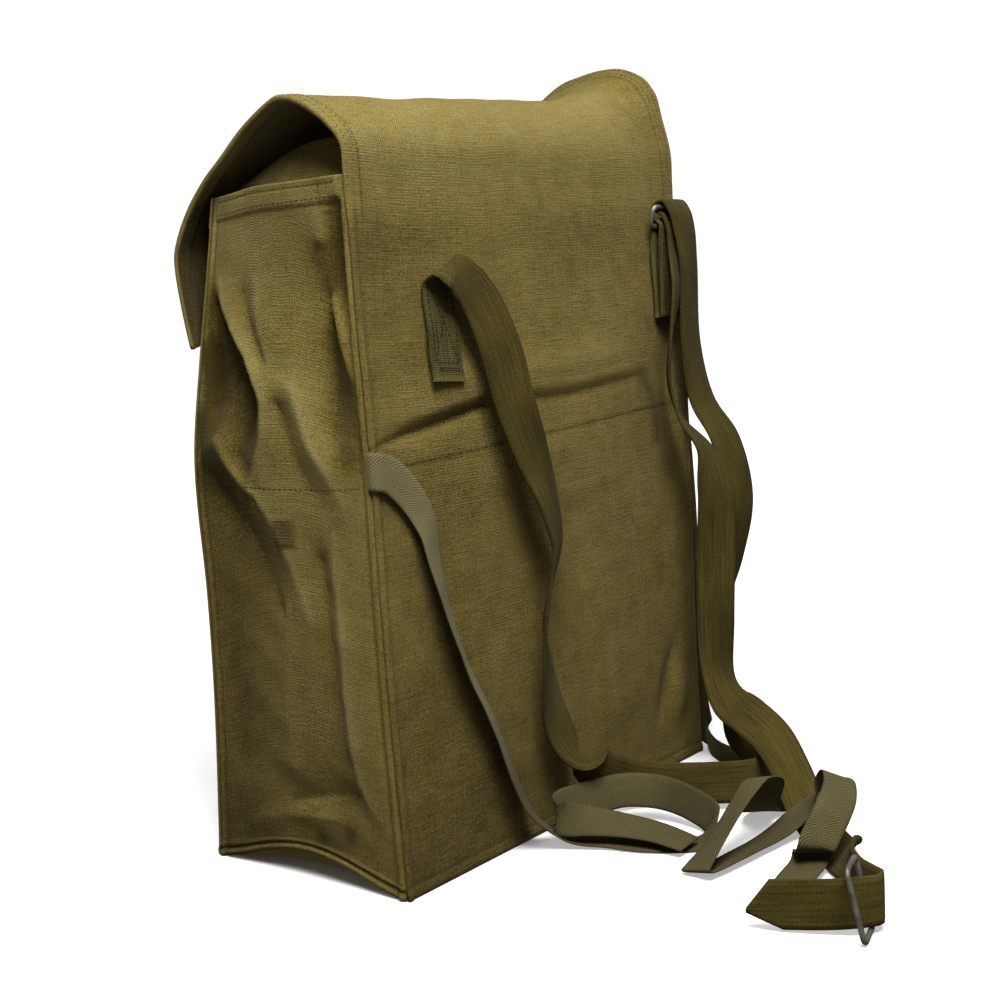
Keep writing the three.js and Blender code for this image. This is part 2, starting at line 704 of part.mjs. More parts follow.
const PIECES = [
  { name: "back_flap", geometry: makeBackFlap(), material: canvas },
  { name: "front_panel", geometry: makeFrontPanel(), material: canvas },
  { name: "gusset_near", geometry: makeNearGusset(), material: canvas },
  { name: "gusset_far", geometry: makeFarGusset(), material: canvas },
  { name: "bottom_panel", geometry: makeBottomPanel(), material: canvas },
  { name: "throat_flap", geometry: makeThroatFlap(), material: canvas },
  {
    name: "shoulder_strap",
    geometry: ribbon(STRAP_ROUTE, STRAP_WIDTH, STRAP_THICK, STRAP_END),
    material: webbing,
  },
  { name: "ring_chape", geometry: ribbon(CHAPE_ROUTE, STRAP_WIDTH, STRAP_THICK), material: webbing },
  { name: "strap_ring", geometry: makeStrapRing(), material: wireSteel },
  { name: "strap_loop", geometry: makeStrapLoop(), material: wireSteel },
  { name: "tape_near", geometry: ribbon(TAPE_NEAR_ROUTE, TAPE_WIDTH, TAPE_THICK), material: tapeCotton },
  { name: "tape_far", geometry: ribbon(TAPE_FAR_ROUTE, TAPE_WIDTH, TAPE_THICK), material: tapeCotton },
];

const bag = new THREE.Group();
bag.name = "shoulder_bag";
for (const piece of PIECES) {
  const mesh = new THREE.Mesh(piece.geometry, piece.material);
  mesh.name = piece.name;
  bag.add(mesh);
}

export default bag;
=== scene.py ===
"""Canvas shoulder bag: cloth, webbing, tapes and wire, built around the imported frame."""
import logging
import math
from abc import ABC, abstractmethod
from collections.abc import Sequence
from dataclasses import dataclass, field
from enum import Enum
from typing import ClassVar

import bpy
import numpy as np
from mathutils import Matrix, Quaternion, Vector


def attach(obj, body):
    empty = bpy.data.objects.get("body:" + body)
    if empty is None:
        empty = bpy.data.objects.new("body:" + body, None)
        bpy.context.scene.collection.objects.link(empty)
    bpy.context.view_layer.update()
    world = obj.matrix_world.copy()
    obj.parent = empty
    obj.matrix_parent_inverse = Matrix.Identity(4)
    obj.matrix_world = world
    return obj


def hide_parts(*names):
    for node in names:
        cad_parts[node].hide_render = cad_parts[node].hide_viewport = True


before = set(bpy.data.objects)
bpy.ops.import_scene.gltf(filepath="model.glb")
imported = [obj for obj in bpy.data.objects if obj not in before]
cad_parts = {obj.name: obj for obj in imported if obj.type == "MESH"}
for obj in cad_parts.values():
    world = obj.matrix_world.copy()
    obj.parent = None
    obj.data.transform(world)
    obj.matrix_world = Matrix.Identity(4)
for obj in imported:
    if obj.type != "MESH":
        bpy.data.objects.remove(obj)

Array = np.ndarray
Table = dict[str, Array]
Marks = dict[str, Array]
Faces = list[list[int]]
Pair = tuple[float, float]
Triple = tuple[float, float, float]
Line = Sequence[Sequence[float]]
Colour = tuple[int, int, int]
Piece = bpy.types.Object
Material = bpy.types.Material
Socket = bpy.types.NodeSocket
Value = Socket | float
Tint = Socket | Sequence[float]

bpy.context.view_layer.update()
MM = 0.001
BODY = "root"
UV_NAME = "Cloth"
LOG = logging.getLogger("bag")

# Cloth and webbing, in millimetres
CLOTH = 1.6
GAP = 0.3
STRAP_WIDTH = 23.0
STRAP_THICK = 2.0
TAPE_WIDTH = 18.0
TAPE_THICK = 1.0
RIBBON_LIFT = 0.5
SEAM_INSET = CLOTH + GAP
GUSSET_TOP = 340.5
FRONT_TOP = 338.0
BACK_TOP = 330.0
ARCH_RISE = 13.5
SEAM_PITCH = 3.0
HEM_PITCH = 3.1
FLAP_PITCH = 3.2
INSIDE_POINT = np.array([0.0, 0.0, 180.0])

# Least heights of cloth and ribbons over the floor
CLOTH_FLOOR = 0.05
RIBBON_FLOOR = 0.1

# Turns of a cloth's rim from face to face, and how far it stands out in half thicknesses
RIM_ANGLES = (math.pi / 4, math.pi / 2, 3 * math.pi / 4)
RIM_BULGE = 0.8

# Least share of a wall's thickness that counts as straight inwards
LEAST_FACING = 0.45

# Tone of the cloth's inner side, unfaded cloth darkened further with painted shade, and the tone at which
# a colour is all faded
INNER_UNFADED_AND_SHADE = -0.15
TONE_REACH = 0.65


class Slot(Enum):
    """Material slots of the record."""

    CANVAS = "canvas"
    WEBBING = "webbing"
    TAPE = "tape"
    WIRE = "wire"


class FoldShape(Enum):
    """How a fold's height falls off on both sides of its line."""

    ROUND = "round"
    SHARP = "sharp"


@dataclass(frozen=True)
class Fold:
    """A ridge or a dent of a panel along a line.

    Attributes:
        height: height out of the cloth, negative for a dent.
        width: distance over which it falls off.
        line: points of the line in the panel's two coordinates.
        shape: round or sharp crest.
        taper: share of the line at each end over which the fold dies away.
    """

    height: float
    width: float
    line: Line
    shape: FoldShape = FoldShape.ROUND
    taper: float = 0.4


def table(columns: str, lines: Line) -> Table:
    """Columns of a table by name, from the names in one string and a line for each row."""
    return dict(zip(columns.split(), np.array(lines, float).T))


# The four seams of the body, from the base to the top
SEAMS = table("z nearBackX nearBackY nearFrontX nearFrontY farBackX farBackY farFrontX farFrontY", [
    [0, 133.8, 66.3, 134.6, -67, -134, 66.3, -134, -67],
    [80, 133.8, 63.8, 134.2, -60.5, -135.5, 65.4, -134.5, -61],
    [140, 133.2, 62.7, 135.2, -57, -137, 65.4, -135.5, -58],
    [208, 132.2, 62, 137.5, -54.8, -138.5, 65.7, -137, -56],
    [260, 132, 60.3, 134.3, -47.5, -138.5, 64, -135.5, -49],
    [300, 131.7, 59.5, 130.5, -41.5, -138.5, 62.3, -134, -43],
    [342, 131.2, 58.8, 127, -35, -139, 61.8, -133, -37],
])

# The flap's two side edges, from the top of the back to the hem
FLAP = table("step nearX nearY nearZ farX farY farZ", [
    [0, 131.3, 58.9, 338, -139, 62, 339],
    [1, 132.2, 58.4, 355.4, -139, 60.9, 359],
    [2, 133.4, 51.3, 366.3, -139, 56.5, 376.6],
    [3, 134, 36.8, 376, -139, 53.8, 388.3],
    [4, 134, 24.2, 379.4, -139, 50.7, 394.4],
    [5, 134, 13.8, 376.7, -139, 44.2, 402],
    [6, 134, -4.5, 367.4, -139, 30.6, 408.5],
    [7, 134, -20.2, 356.2, -139, 16.3, 409.3],
    [8, 134, -32.5, 347, -139, 1.6, 407.8],
    [9, 134.5, -45.4, 334, -139, -13.6, 405],
    [10, 135, -54.6, 319.7, -139, -30, 396],
    [11, 135, -57.8, 307.6, -139, -45, 380],
    [12, 135, -55.7, 285.2, -139, -55, 360],
    [13, 135, -52.2, 266.7, -139, -60, 335],
])

# How much of the far edge's shape the flap has on the way across, from near to far
FLAP_BLEND = table("across far", [
    [0, 0], [0.08, 0.1], [0.23, 0.14], [0.45, 0.28], [0.67, 0.38], [0.77, 0.46], [0.88, 0.68], [1, 1],
])

# Upper edge of the throat flap and how far it leans into the bag
THROAT_EDGE = table("y z lean", [[-28, 343, 12], [10, 358, 18], [40, 361, 20], [50, 360, 20]])

# Routes in millimetres: centre line, and the azimuth and elevation of the width
STRAP_ROUTE = table("x y z azimuth elevation", [
    [81.5, 60, 243, 0, 0], [79.5, 60, 268, 0, 0], [78.9, 60, 287, 0, 0], [78.8, 65, 294, 15, -6],
    [78, 68.2, 295.9, 23, -20], [76.2, 71, 295.2, 19, -36], [72.5, 72.4, 292.6, 2, -41],
    [65, 74, 286, -10, -31], [59.5, 76.2, 276, -18, -22], [54.5, 80.5, 256, -24, -8],
    [50, 83.5, 231, -22, -8], [42, 85.5, 205.5, -8, -8],
    [30, 85.5, 178.5, 14, -8], [22.5, 83.5, 154, 26, -4], [25.5, 81, 136.5, 34, 0],
    [31, 79, 114, 39, 0], [30, 78.3, 87, 24, 0], [27, 79.3, 63, 4, 0], [21, 82, 48, 0, 20],
    [9, 86, 35, 0, 45], [-9, 88, 24, 30, 70], [-26, 93, 17, 70, 82], [-37, 107, 14.5, 90, 88],
    [-52, 138, 15.4, 140, 70], [-64, 145, 15, 175, 52], [-80, 142, 15, 205, 50],
    [-96, 130, 16.6, 215, 50], [-109, 113, 21, 210, 42], [-119, 98, 36, 200, 24],
    [-126, 86, 58, 190, 10], [-129.3, 85, 87, 186, 2], [-131, 94, 120, 172, 0],
    [-132.5, 100, 157, 162, 0], [-133, 93, 191, 165, 0], [-130.5, 80.5, 214, 174, 0],
    [-127, 76.5, 248, 184, 0], [-124, 79.5, 292, 188, 0], [-122, 79, 312, 182, 0],
    [-121, 76.8, 323, 180, 0], [-121, 72.4, 328.8, 180, 0], [-121, 67.8, 327.4, 180, 0],
    [-121, 68, 323.4, 180, 0], [-121, 71.4, 321.2, 180, 0], [-121, 74.2, 315, 182, 0],
    [-120, 75.2, 302, 186, 0], [-109.5, 79.8, 279.3, 200, 0], [-101.5, 79.6, 253.3, 212, 0],
    [-98.4, 79, 227, 216, 0], [-101, 83, 207, 210, 0], [-107.6, 94.4, 188, 190, 0],
    [-107.6, 100, 167, 150, 0], [-107.6, 99, 135, 140, 0], [-105.4, 97.6, 89, 143, 0],
    [-103, 99.5, 56, 165, 10], [-97, 110, 45, 186, 32], [-85, 128, 42, 186, 38],
    [-71, 150, 36, 168, 30], [-60, 166, 24.5, 150, 10], [-48, 182, 8, 140, 3], [-35, 196, 3, 136, 2],
    [-18, 212, 3.5, 130, 8], [0, 226, 6.5, 125, 40], [14, 235.5, 11, 122, 76],
    [30, 245, 13.2, 125, 88], [42, 254.5, 14.4, 125, 88], [48.5, 263.5, 15, 150, 88],
    [52.3, 269.6, 15, 180, 88], [57.4, 270.2, 15, 200, 88], [64, 264.6, 15, 195, 88],
    [70, 252.5, 13.8, 195, 88], [77.5, 232, 12.4, 190, 88],
])
CHAPE_ROUTE = table("x y z azimuth elevation", [
    [-115.8, 60, 263, 186, 0], [-117.2, 60, 290, 186, 0], [-119.2, 60, 309, 184, 0],
    [-120, 64.4, 315.4, 180, 0], [-120, 67.4, 318.6, 180, 0], [-120, 70.9, 315.4, 180, 0],
    [-119.4, 70.2, 309, 183, 0], [-118, 70, 300, 186, 0], [-116.5, 70.6, 277, 186, 0],
    [-115.8, 70.8, 263, 186, 0],
])
TAPE_NEAR_ROUTE = table("x y z azimuth elevation", [
    [133.5, 60.6, 206, 20, -88], [133.4, 62.8, 206, 20, -88], [130.8, 65, 205.6, 14, -84],
    [123.4, 65.8, 202.8, 8, -74], [115.7, 66.4, 196, 6, -55], [108.1, 66.4, 186.3, 8, -38],
    [103.6, 67, 175.8, 14, -24], [101.9, 67, 162.3, 22, -12], [99.8, 67, 147.3, 31, -4],
    [95.7, 67.5, 127.4, 37, 0], [87.2, 68.5, 103.5, 38, 0], [73.9, 71, 76.8, 36, 0],
    [60, 74.5, 42, 34, 0], [48, 79, 16, 30, 20], [36, 88, 4, 30, 8], [26, 105, 1, 20, 4],
    [18, 130, 1, 10, 0], [4, 148, 1.2, 40, 3], [-11, 147, 8, 120, 70], [-17, 130, 13, 190, 78],
    [-17, 112, 16, 215, 74], [-6, 98.5, 18.5, 240, 70], [15.7, 91.5, 19.8, 280, 66],
    [33.7, 83.5, 18.6, 300, 76], [42, 88, 17, 250, 86], [31.5, 98, 13.5, 222, 44],
    [22, 112, 10.5, 208, 24], [17, 131, 8, 196, 13], [16.5, 150, 5, 192, 6],
])
TAPE_FAR_ROUTE = table("x y z azimuth elevation", [
    [-140, 55, 214, 270, 0], [-141.4, 55, 200, 270, 0], [-144.5, 54.5, 175, 270, 0],
    [-146.5, 54, 145, 270, 0], [-147, 53, 100, 270, 0], [-147, 54, 45, 270, 0], [-147, 59, 13, 260, 0],
    [-139, 75, 1.6, 205, 0], [-120, 100, 1, 150, 0], [-98, 128, 1, 140, 0], [-76, 149, 1, 135, 0],
    [-61, 156, 1.4, 136, -2], [-47, 155.5, 3.6, 132, -2], [-35.5, 160, 9, 126, 0],
    [-28, 166, 17, 118, 2], [-22.5, 172, 26.5, 105, 6], [-16, 176.2, 33.5, 90, 12],
    [-8, 175, 35, 80, 18], [2, 173.5, 29, 72, 22], [16, 172, 20, 69, 24], [31, 170.5, 11, 72, 20],
    [40, 169.8, 6.4, 78, 14], [43.4, 169.7, 4.4, 82, 12], [40, 170.4, 2.5, 84, 11],
    [24, 173.5, 2.6, 86, 13], [-4, 177, 2.6, 84, 12], [-22, 180, 5, 74, 8], [-35, 187, 14, 50, 0],
    [-41, 196, 26, -5, 8], [-33, 207, 34.5, -48, 24], [-18, 216, 33.5, -52, 28],
    [-2, 220.5, 29.5, -52, 18], [10, 220, 21, -52, 8], [14.6, 218.8, 15.5, -54, 2],
    [12.8, 216.8, 12.4, -57, 0], [9.5, 214, 10.8, -60, 0], [7, 212.3, 8.8, -64, 0],
    [7.8, 212, 6.6, -67, 0], [13, 213.2, 5.2, -70, 0], [21, 213.8, 4.2, -76, 0],
    [30, 214.4, 2.8, -78, 0], [39, 215.5, 1, -78, 0],
])

# The crease across the back and its faint end, in x and z
CREASE = ((150, 211), (129, 217), (51, 229), (10, 228.5))
CREASE_END = ((60, 229), (-17, 227.5), (-104, 233))

# Broad folds of the back panel, in x and z
BACK_FOLDS = (
    Fold(-1.5, 4.5, CREASE, taper=0.25),
    Fold(-0.5, 5, CREASE_END, taper=0.2),
    Fold(2.4, 10, ((120, 236), (40, 243), (-95, 246)), taper=0.2),
    Fold(2, 14, ((100, 195), (-60, 200))),
    Fold(2, 11, ((-16, 139), (-27, 114), (-32, 63), (-38, 27))),
    Fold(-3, 8, ((-126, 91), (-102, 59), (-82, 9))),
    Fold(2.5, 10, ((-122, 60), (-104, 20))),
)

# Ridges of the near gusset: y, z and height of points on each line
LONG_RIDGE = (
    (-31, 302, 0.5), (-28, 287, 3), (-18, 271, 5), (-9, 261, 6), (-3, 251, 7), (3, 240, 8), (1, 224, 7),
    (-4, 213, 6), (-8, 199, 4), (-10, 190, 2.5),
)
SLANTED_RIDGE = (
    (-53, 210, 1), (-36, 221, 3.5), (-27, 210, 5), (-17, 201, 6), (-5, 191, 6.5), (3, 181, 6),
    (10, 165, 5), (15, 150, 4), (20, 134, 2.8),
)
MIDDLE_RIDGE = (
    (-4, 298, 1), (-2, 278, 2.5), (2, 265, 3), (9, 253, 3.5), (20, 245, 4.5), (25, 232, 5.5),
    (29, 219, 6), (38, 206, 5.5), (47, 188, 3),
)
LOWER_RIDGE = (
    (39, 176, 2.5), (38, 156, 4), (40, 129, 5), (40, 98, 5), (41, 73, 4.5), (43, 56, 3.5), (47, 44, 2),
    (57, 34, 0),
)

# All creases of the near gusset: the ridges, with the hollows and smaller folds beside them
GUSSET_CREASES = (
    LONG_RIDGE,
    ((-35, 287, -4), (-27, 271, -6.5), (-19, 258, -8.5), (-13, 245, -8.5), (-13, 232, -6.5),
     (-17, 220, -3.5)),
    ((-44, 268, -8), (-42, 250, -10), (-42, 236, -8)),
    SLANTED_RIDGE,
    ((-44, 204, -1), (-34, 192, -2), (-22, 180, -2), (-12, 166, -1.5), (-4, 150, 0), (2, 136, 1)),
    ((-22, 214, -1), (-14, 206, 1)),
    MIDDLE_RIDGE,
    ((10, 238, 2), (15, 222, 2), (21, 208, 2), (28, 195, 2)),
    ((-14, 292, -0.5), (-8, 276, 0.5), (1, 258, 2)),
    # hollow and ridge along the back seam
    ((33, 302, -4), (39, 287, -6.5), (43, 273, -6.5), (41, 255, -5.5), (42, 239, -5), (41, 222, -2)),
    ((44, 286, 0), (49, 270, 2), (52, 260, 2.5), (55, 249, 1.5)),
    ((55, 331, -4), (54, 318, -7), (53, 300, -8.5), (53, 288, -8), (56, 270, -4)),
    ((42, 326, 0.5), (39, 312, 1)),
    # lower half
    LOWER_RIDGE,
    ((29, 164, -0.5), (30, 137, 0.5), (33, 110, 1.5), (34, 80, 1), (36, 62, 0.5)),
    ((6, 140, 3.5), (2, 116, 4), (-1, 78, 3.5), (-2, 56, 1.5)),
    ((-40, 150, -1.5), (-42, 113, -2), (-44, 74, -2.5), (-40, 50, -2)),
    ((-7, 32, -3), (9, 38, -4), (25, 43, -4), (39, 47, -2.5)),
    ((-36, 18, 1), (-11, 23, 1.5), (6, 26, 1.5), (24, 29, 1)),
)

# Broad folds of the far gusset, in y and z
FAR_GUSSET_FOLDS = (
    Fold(-8, 22, ((-15, 250), (5, 150))),
    Fold(3, 14, ((30, 200), (20, 80))),
)


def smooth(rows: Table, key: str, column: str, at: Array) -> Array:
    """Reads one column of a table on a smooth curve through its rows.

    Args:
        rows: the table, in rising order of the key.
        key: column that is known.
        column: column that is wanted.
        at: values of the key.

    Returns:
        The column's values there.
    """
    keys, values = rows[key], rows[column]
    last = len(keys) - 1
    held = np.clip(at, keys[0], keys[last])
    i = np.clip(np.searchsorted(keys, held) - 1, 0, last - 1)
    before = np.maximum(np.arange(last + 1) - 1, 0)
    after = np.minimum(np.arange(last + 1) + 1, last)
    slope = (values[after] - values[before]) / (keys[after] - keys[before])
    span = keys[i + 1] - keys[i]
    t = (held - keys[i]) / span
    ease = t * t * (3 - 2 * t)
    bend = slope[i] * t * (1 - t) ** 2 - slope[i + 1] * t * t * (1 - t)
    return values[i] + (values[i + 1] - values[i]) * ease + bend * span


def seam(column: str, z: Array) -> Array:
    """One coordinate of a seam at a height."""
    return smooth(SEAMS, "z", column, z)


def lerp(low: Array | float, high: Array | float, t: Array | float) -> Array:
    """Value part of the way from low to high."""
    return low + (high - low) * t


def between(first: str, second: str, z: Array, across: Array, inset: float = 0.0) -> tuple[Array, Array]:
    """A place on a straight wall between two seams.

    Args:
        first: seam at 0 across.
        second: seam at 1 across.
        z: height.
        across: share of the way from the first to the second.
        inset: how far inside both seams the wall stops.

    Returns:
        x and y of the place.
    """
    x = lerp(seam(first + "X", z), seam(second + "X", z), across)
    y = lerp(seam(first + "Y", z) + inset, seam(second + "Y", z) - inset, across)
    return x, y


def smoothstep(x: Array, low: float, high: float) -> Array:
    """Soft step from 0 at low to 1 at high."""
    t = np.clip((np.asarray(x, float) - low) / (high - low), 0, 1)
    return t * t * (3 - 2 * t)


def nearest_on_line(line: Line, p: Array, q: Array) -> tuple[Array, Array]:
    """Finds the nearest place on a line of straight pieces.

    Args:
        line: points of the line.
        p: first coordinate of the points.
        q: second coordinate of the points.

    Returns:
        The distance of each point, and the share of the line that lies before the nearest place.
    """
    best = np.full(np.shape(p), np.inf)
    place = np.zeros(np.shape(p))
    done = 0.0
    for (a, b), (c, d) in zip(line, line[1:]):
        length = math.hypot(c - a, d - b)
        t = np.clip(((p - a) * (c - a) + (q - b) * (d - b)) / length**2, 0, 1)
        distance = np.hypot(p - a - t * (c - a), q - b - t * (d - b))
        place = np.where(distance < best, done + t * length, place)
        best = np.minimum(best, distance)
        done += length
    return best, place / done


def line_glow(line: Line, width: float, p: Array, q: Array) -> Array:
    """A soft mark of strength 1 along a line."""
    return np.exp(-((nearest_on_line(line, p, q)[0] / width) ** 2))


def fold_height(folds: Sequence[Fold], p: Array, q: Array) -> Array:
    """Height that a set of folds gives to the cloth.

    Args:
        folds: the folds.
        p: first panel coordinate.
        q: second panel coordinate.

    Returns:
        The height at each point.
    """
    height = np.zeros(np.shape(p))
    for fold in folds:
        distance, share = nearest_on_line(fold.line, p, q)
        ratio = distance / fold.width
        strength = fold.height
        if fold.taper > 0:
            strength = strength * smoothstep(np.minimum(share, 1 - share), -0.15 * fold.taper, fold.taper)
        if fold.shape is FoldShape.ROUND:
            height += strength * np.exp(-(ratio**2))
        else:
            height += strength * np.exp(0.25 - np.sqrt(ratio**2 * 1.6 + 0.0625))
    return height


class CreasedCloth:
    """Cloth pulled tight over creases, so that it is flat between them and bends at them.

    Attributes:
        LOW: lowest y and z of the grid.
        SIZE: number of squares along y and z.
        SEWN: width of the strips along the seams that stay flat.
        FREE: lowest and highest z of the cloth that bends.
        PASSES: passes that pull the cloth tight.
        ROUNDING: passes that round the creases.
        SURROUNDINGS: passes that even out the cloth around a place.
    """

    LOW = (-70, -4)
    SIZE = (140, 352)
    SEWN = 2
    FREE = (8, GUSSET_TOP - 9)
    PASSES = 1500
    ROUNDING = 2
    SURROUNDINGS = 160

    def __init__(self, creases: Sequence[Line]) -> None:
        """Finds the cloth's height on a grid of one-millimetre squares.

        Args:
            creases: y, z and height of the points of each crease.
        """
        sums, counts = np.zeros(self.SIZE), np.zeros(self.SIZE)
        for crease in creases:
            for start, end in zip(crease, crease[1:]):
                steps = int(2 * math.hypot(end[0] - start[0], end[1] - start[1])) + 2
                line = np.linspace(start, end, steps)
                cells = tuple(np.rint(line[:, k] - self.LOW[k]).astype(int) for k in range(2))
                np.add.at(sums, cells, line[:, 2])
                np.add.at(counts, cells, 1)
        held = counts > 0
        fixed = np.divide(sums, counts, out=np.zeros(self.SIZE), where=held)
        z = np.arange(self.SIZE[1]) + self.LOW[1]
        y = np.arange(self.SIZE[0])[:, None] + self.LOW[0]
        outside = (y <= seam("nearFrontY", z) + self.SEWN) | (y >= seam("nearBackY", z) - self.SEWN)
        outside |= (z < self.FREE[0]) | (z > self.FREE[1])
        held |= outside
        fixed[outside] = 0
        grid = fixed.copy()
        for _ in range(self.PASSES):
            grid = np.where(held, fixed, self.average(grid))
        for _ in range(self.ROUNDING):
            grid = 0.5 * grid + 0.5 * self.average(grid)
        around = grid
        for _ in range(self.SURROUNDINGS):
            around = self.average(around)
        self.grid = grid
        self.relief = grid - around

    @staticmethod
    def average(grid: Array) -> Array:
        """Mean of each square's four neighbours."""
        wide = np.pad(grid, 1, mode="edge")
        return (wide[:-2, 1:-1] + wide[2:, 1:-1] + wide[1:-1, :-2] + wide[1:-1, 2:]) / 4

    def height(self, y: Array, z: Array) -> Array:
        """Height of the cloth at places on the panel."""
        return self.read(self.grid, y, z)

    def proud(self, y: Array, z: Array) -> Array:
        """How far the cloth stands out from its surroundings, negative in hollows."""
        return self.read(self.relief, y, z)

    def read(self, grid: Array, y: Array, z: Array) -> Array:
        """Values of a grid at places on the panel.

        Args:
            grid: values at the grid's points.
            y: places across the panel.
            z: heights.

        Returns:
            The values.
        """
        p = np.clip(y - self.LOW[0], 0, self.SIZE[0] - 1.001)
        q = np.clip(z - self.LOW[1], 0, self.SIZE[1] - 1.001)
        i, j = p.astype(int), q.astype(int)
        s, t = p - i, q - j
        low = lerp(grid[i, j], grid[i + 1, j], s)
        return lerp(low, lerp(grid[i, j + 1], grid[i + 1, j + 1], s), t)


def edge_fade(across: Array, margin: float) -> Array:
    """Fades folds out towards the two seams of a panel."""
    return smoothstep(across, margin / 3, margin) * smoothstep(1 - across, margin / 3, margin)


def ripple(p: Array, q: Array, wavelength: float, seed: int) -> Array:
    """A gentle random unevenness of cloth, the same on each run.

    Args:
        p: first panel coordinate.
        q: second panel coordinate.
        wavelength: typical size of the waves.
        seed: chooses the pattern.

    Returns:
        Heights of about -1 to 1.
    """
    rng = np.random.default_rng(seed)
    waves = 9
    total = np.zeros(np.shape(p))
    for _ in range(waves):
        angle, phase = rng.uniform(0, 2 * np.pi, 2)
        size = wavelength * rng.uniform(0.6, 1.6)
        total += np.sin(2 * np.pi * (p * np.cos(angle) + q * np.sin(angle)) / size + phase)
    return total / waves**0.5 / 1.5


def bump(distance: Array, half_width: float) -> Array:
    """A rounded ridge of height 1 on a line, from the distance to the line."""
    return np.cos(np.clip(np.asarray(distance) / half_width, -1, 1) * np.pi / 2) ** 2


def side_bumps(across: Array, width: float, inset: float, half: float, other: float = 1.0) -> Array:
    """Rounded ridges along both sides of a panel, of heights 1 and other."""
    first, second = across * width - inset, (1 - across) * width - inset
    return bump(first, half) + other * bump(second, half)


def swell(across: Array) -> Array:
    """Rise from 0 at the sides of a panel to 1 in its middle."""
    return np.sin(np.pi * np.clip(across, 0, 1))


def arch(across: Array) -> Array:
    """Rise of the base's near edge, from the front seam to the back seam."""
    return ARCH_RISE * swell(across) ** 1.4


def spread(low: float, high: float, step: float, fine: Sequence[Triple] = ()) -> Array:
    """Values from low to high, closer together in some ranges.

    Args:
        low: first value.
        high: last value.
        step: usual spacing.
        fine: ranges with their own spacing, as low, high and step.

    Returns:
        The values in rising order.
    """
    values = [low]
    while values[-1] < high:
        here = values[-1]
        steps = [s for a, b, s in fine if a - 1e-9 <= here < b]
        values.append(here + min(steps, default=step))
    values[-1] = high
    if len(values) > 2 and values[-1] - values[-2] < 0.3 * step:
        values.pop(-2)
    return np.array(values)


def columns_across(width: float, step: float, edge: float, fine: float) -> Array:
    """Shares of a panel's width a step apart, with finer strips along its two sides."""
    strip, close = edge / width, fine / width
    return spread(0, 1, step / width, ((0, strip, close), (1 - strip, 1, close)))


def unit(vectors: Array) -> Array:
    """Vectors made one unit long."""
    return vectors / np.maximum(np.linalg.norm(vectors, axis=-1, keepdims=True), 1e-12)


def grid_normals(grid: Array) -> Array:
    """Directions square to a grid of points."""
    return unit(np.cross(np.gradient(grid, axis=0), np.gradient(grid, axis=1)))


def lengths_along(line: Array) -> Array:
    """Length of a line up to each of its points."""
    return np.concatenate([[0], np.cumsum(np.linalg.norm(np.diff(line, axis=0), axis=1))])


def read_along(at: Array, lengths: Array, values: Array) -> Array:
    """Values of a line's points, read at lengths between the points."""
    return np.stack([np.interp(at, lengths, column) for column in values.T], -1)


def direction(azimuth: Array, elevation: Array) -> Array:
    """Unit vectors from azimuths and elevations in degrees."""
    turn, rise = np.radians(azimuth), np.radians(elevation)
    return np.stack([np.cos(rise) * np.cos(turn), np.cos(rise) * np.sin(turn), np.sin(rise)], -1)


def linear(red: int, green: int, blue: int) -> tuple[float, float, float, float]:
    """A colour given as on a screen, as the shader wants it."""
    parts = [v / 255 for v in (red, green, blue)]
    light = [v / 12.92 if v <= 0.04045 else ((v + 0.055) / 1.055) ** 2.4 for v in parts]
    return (light[0], light[1], light[2], 1.0)


# Finishes


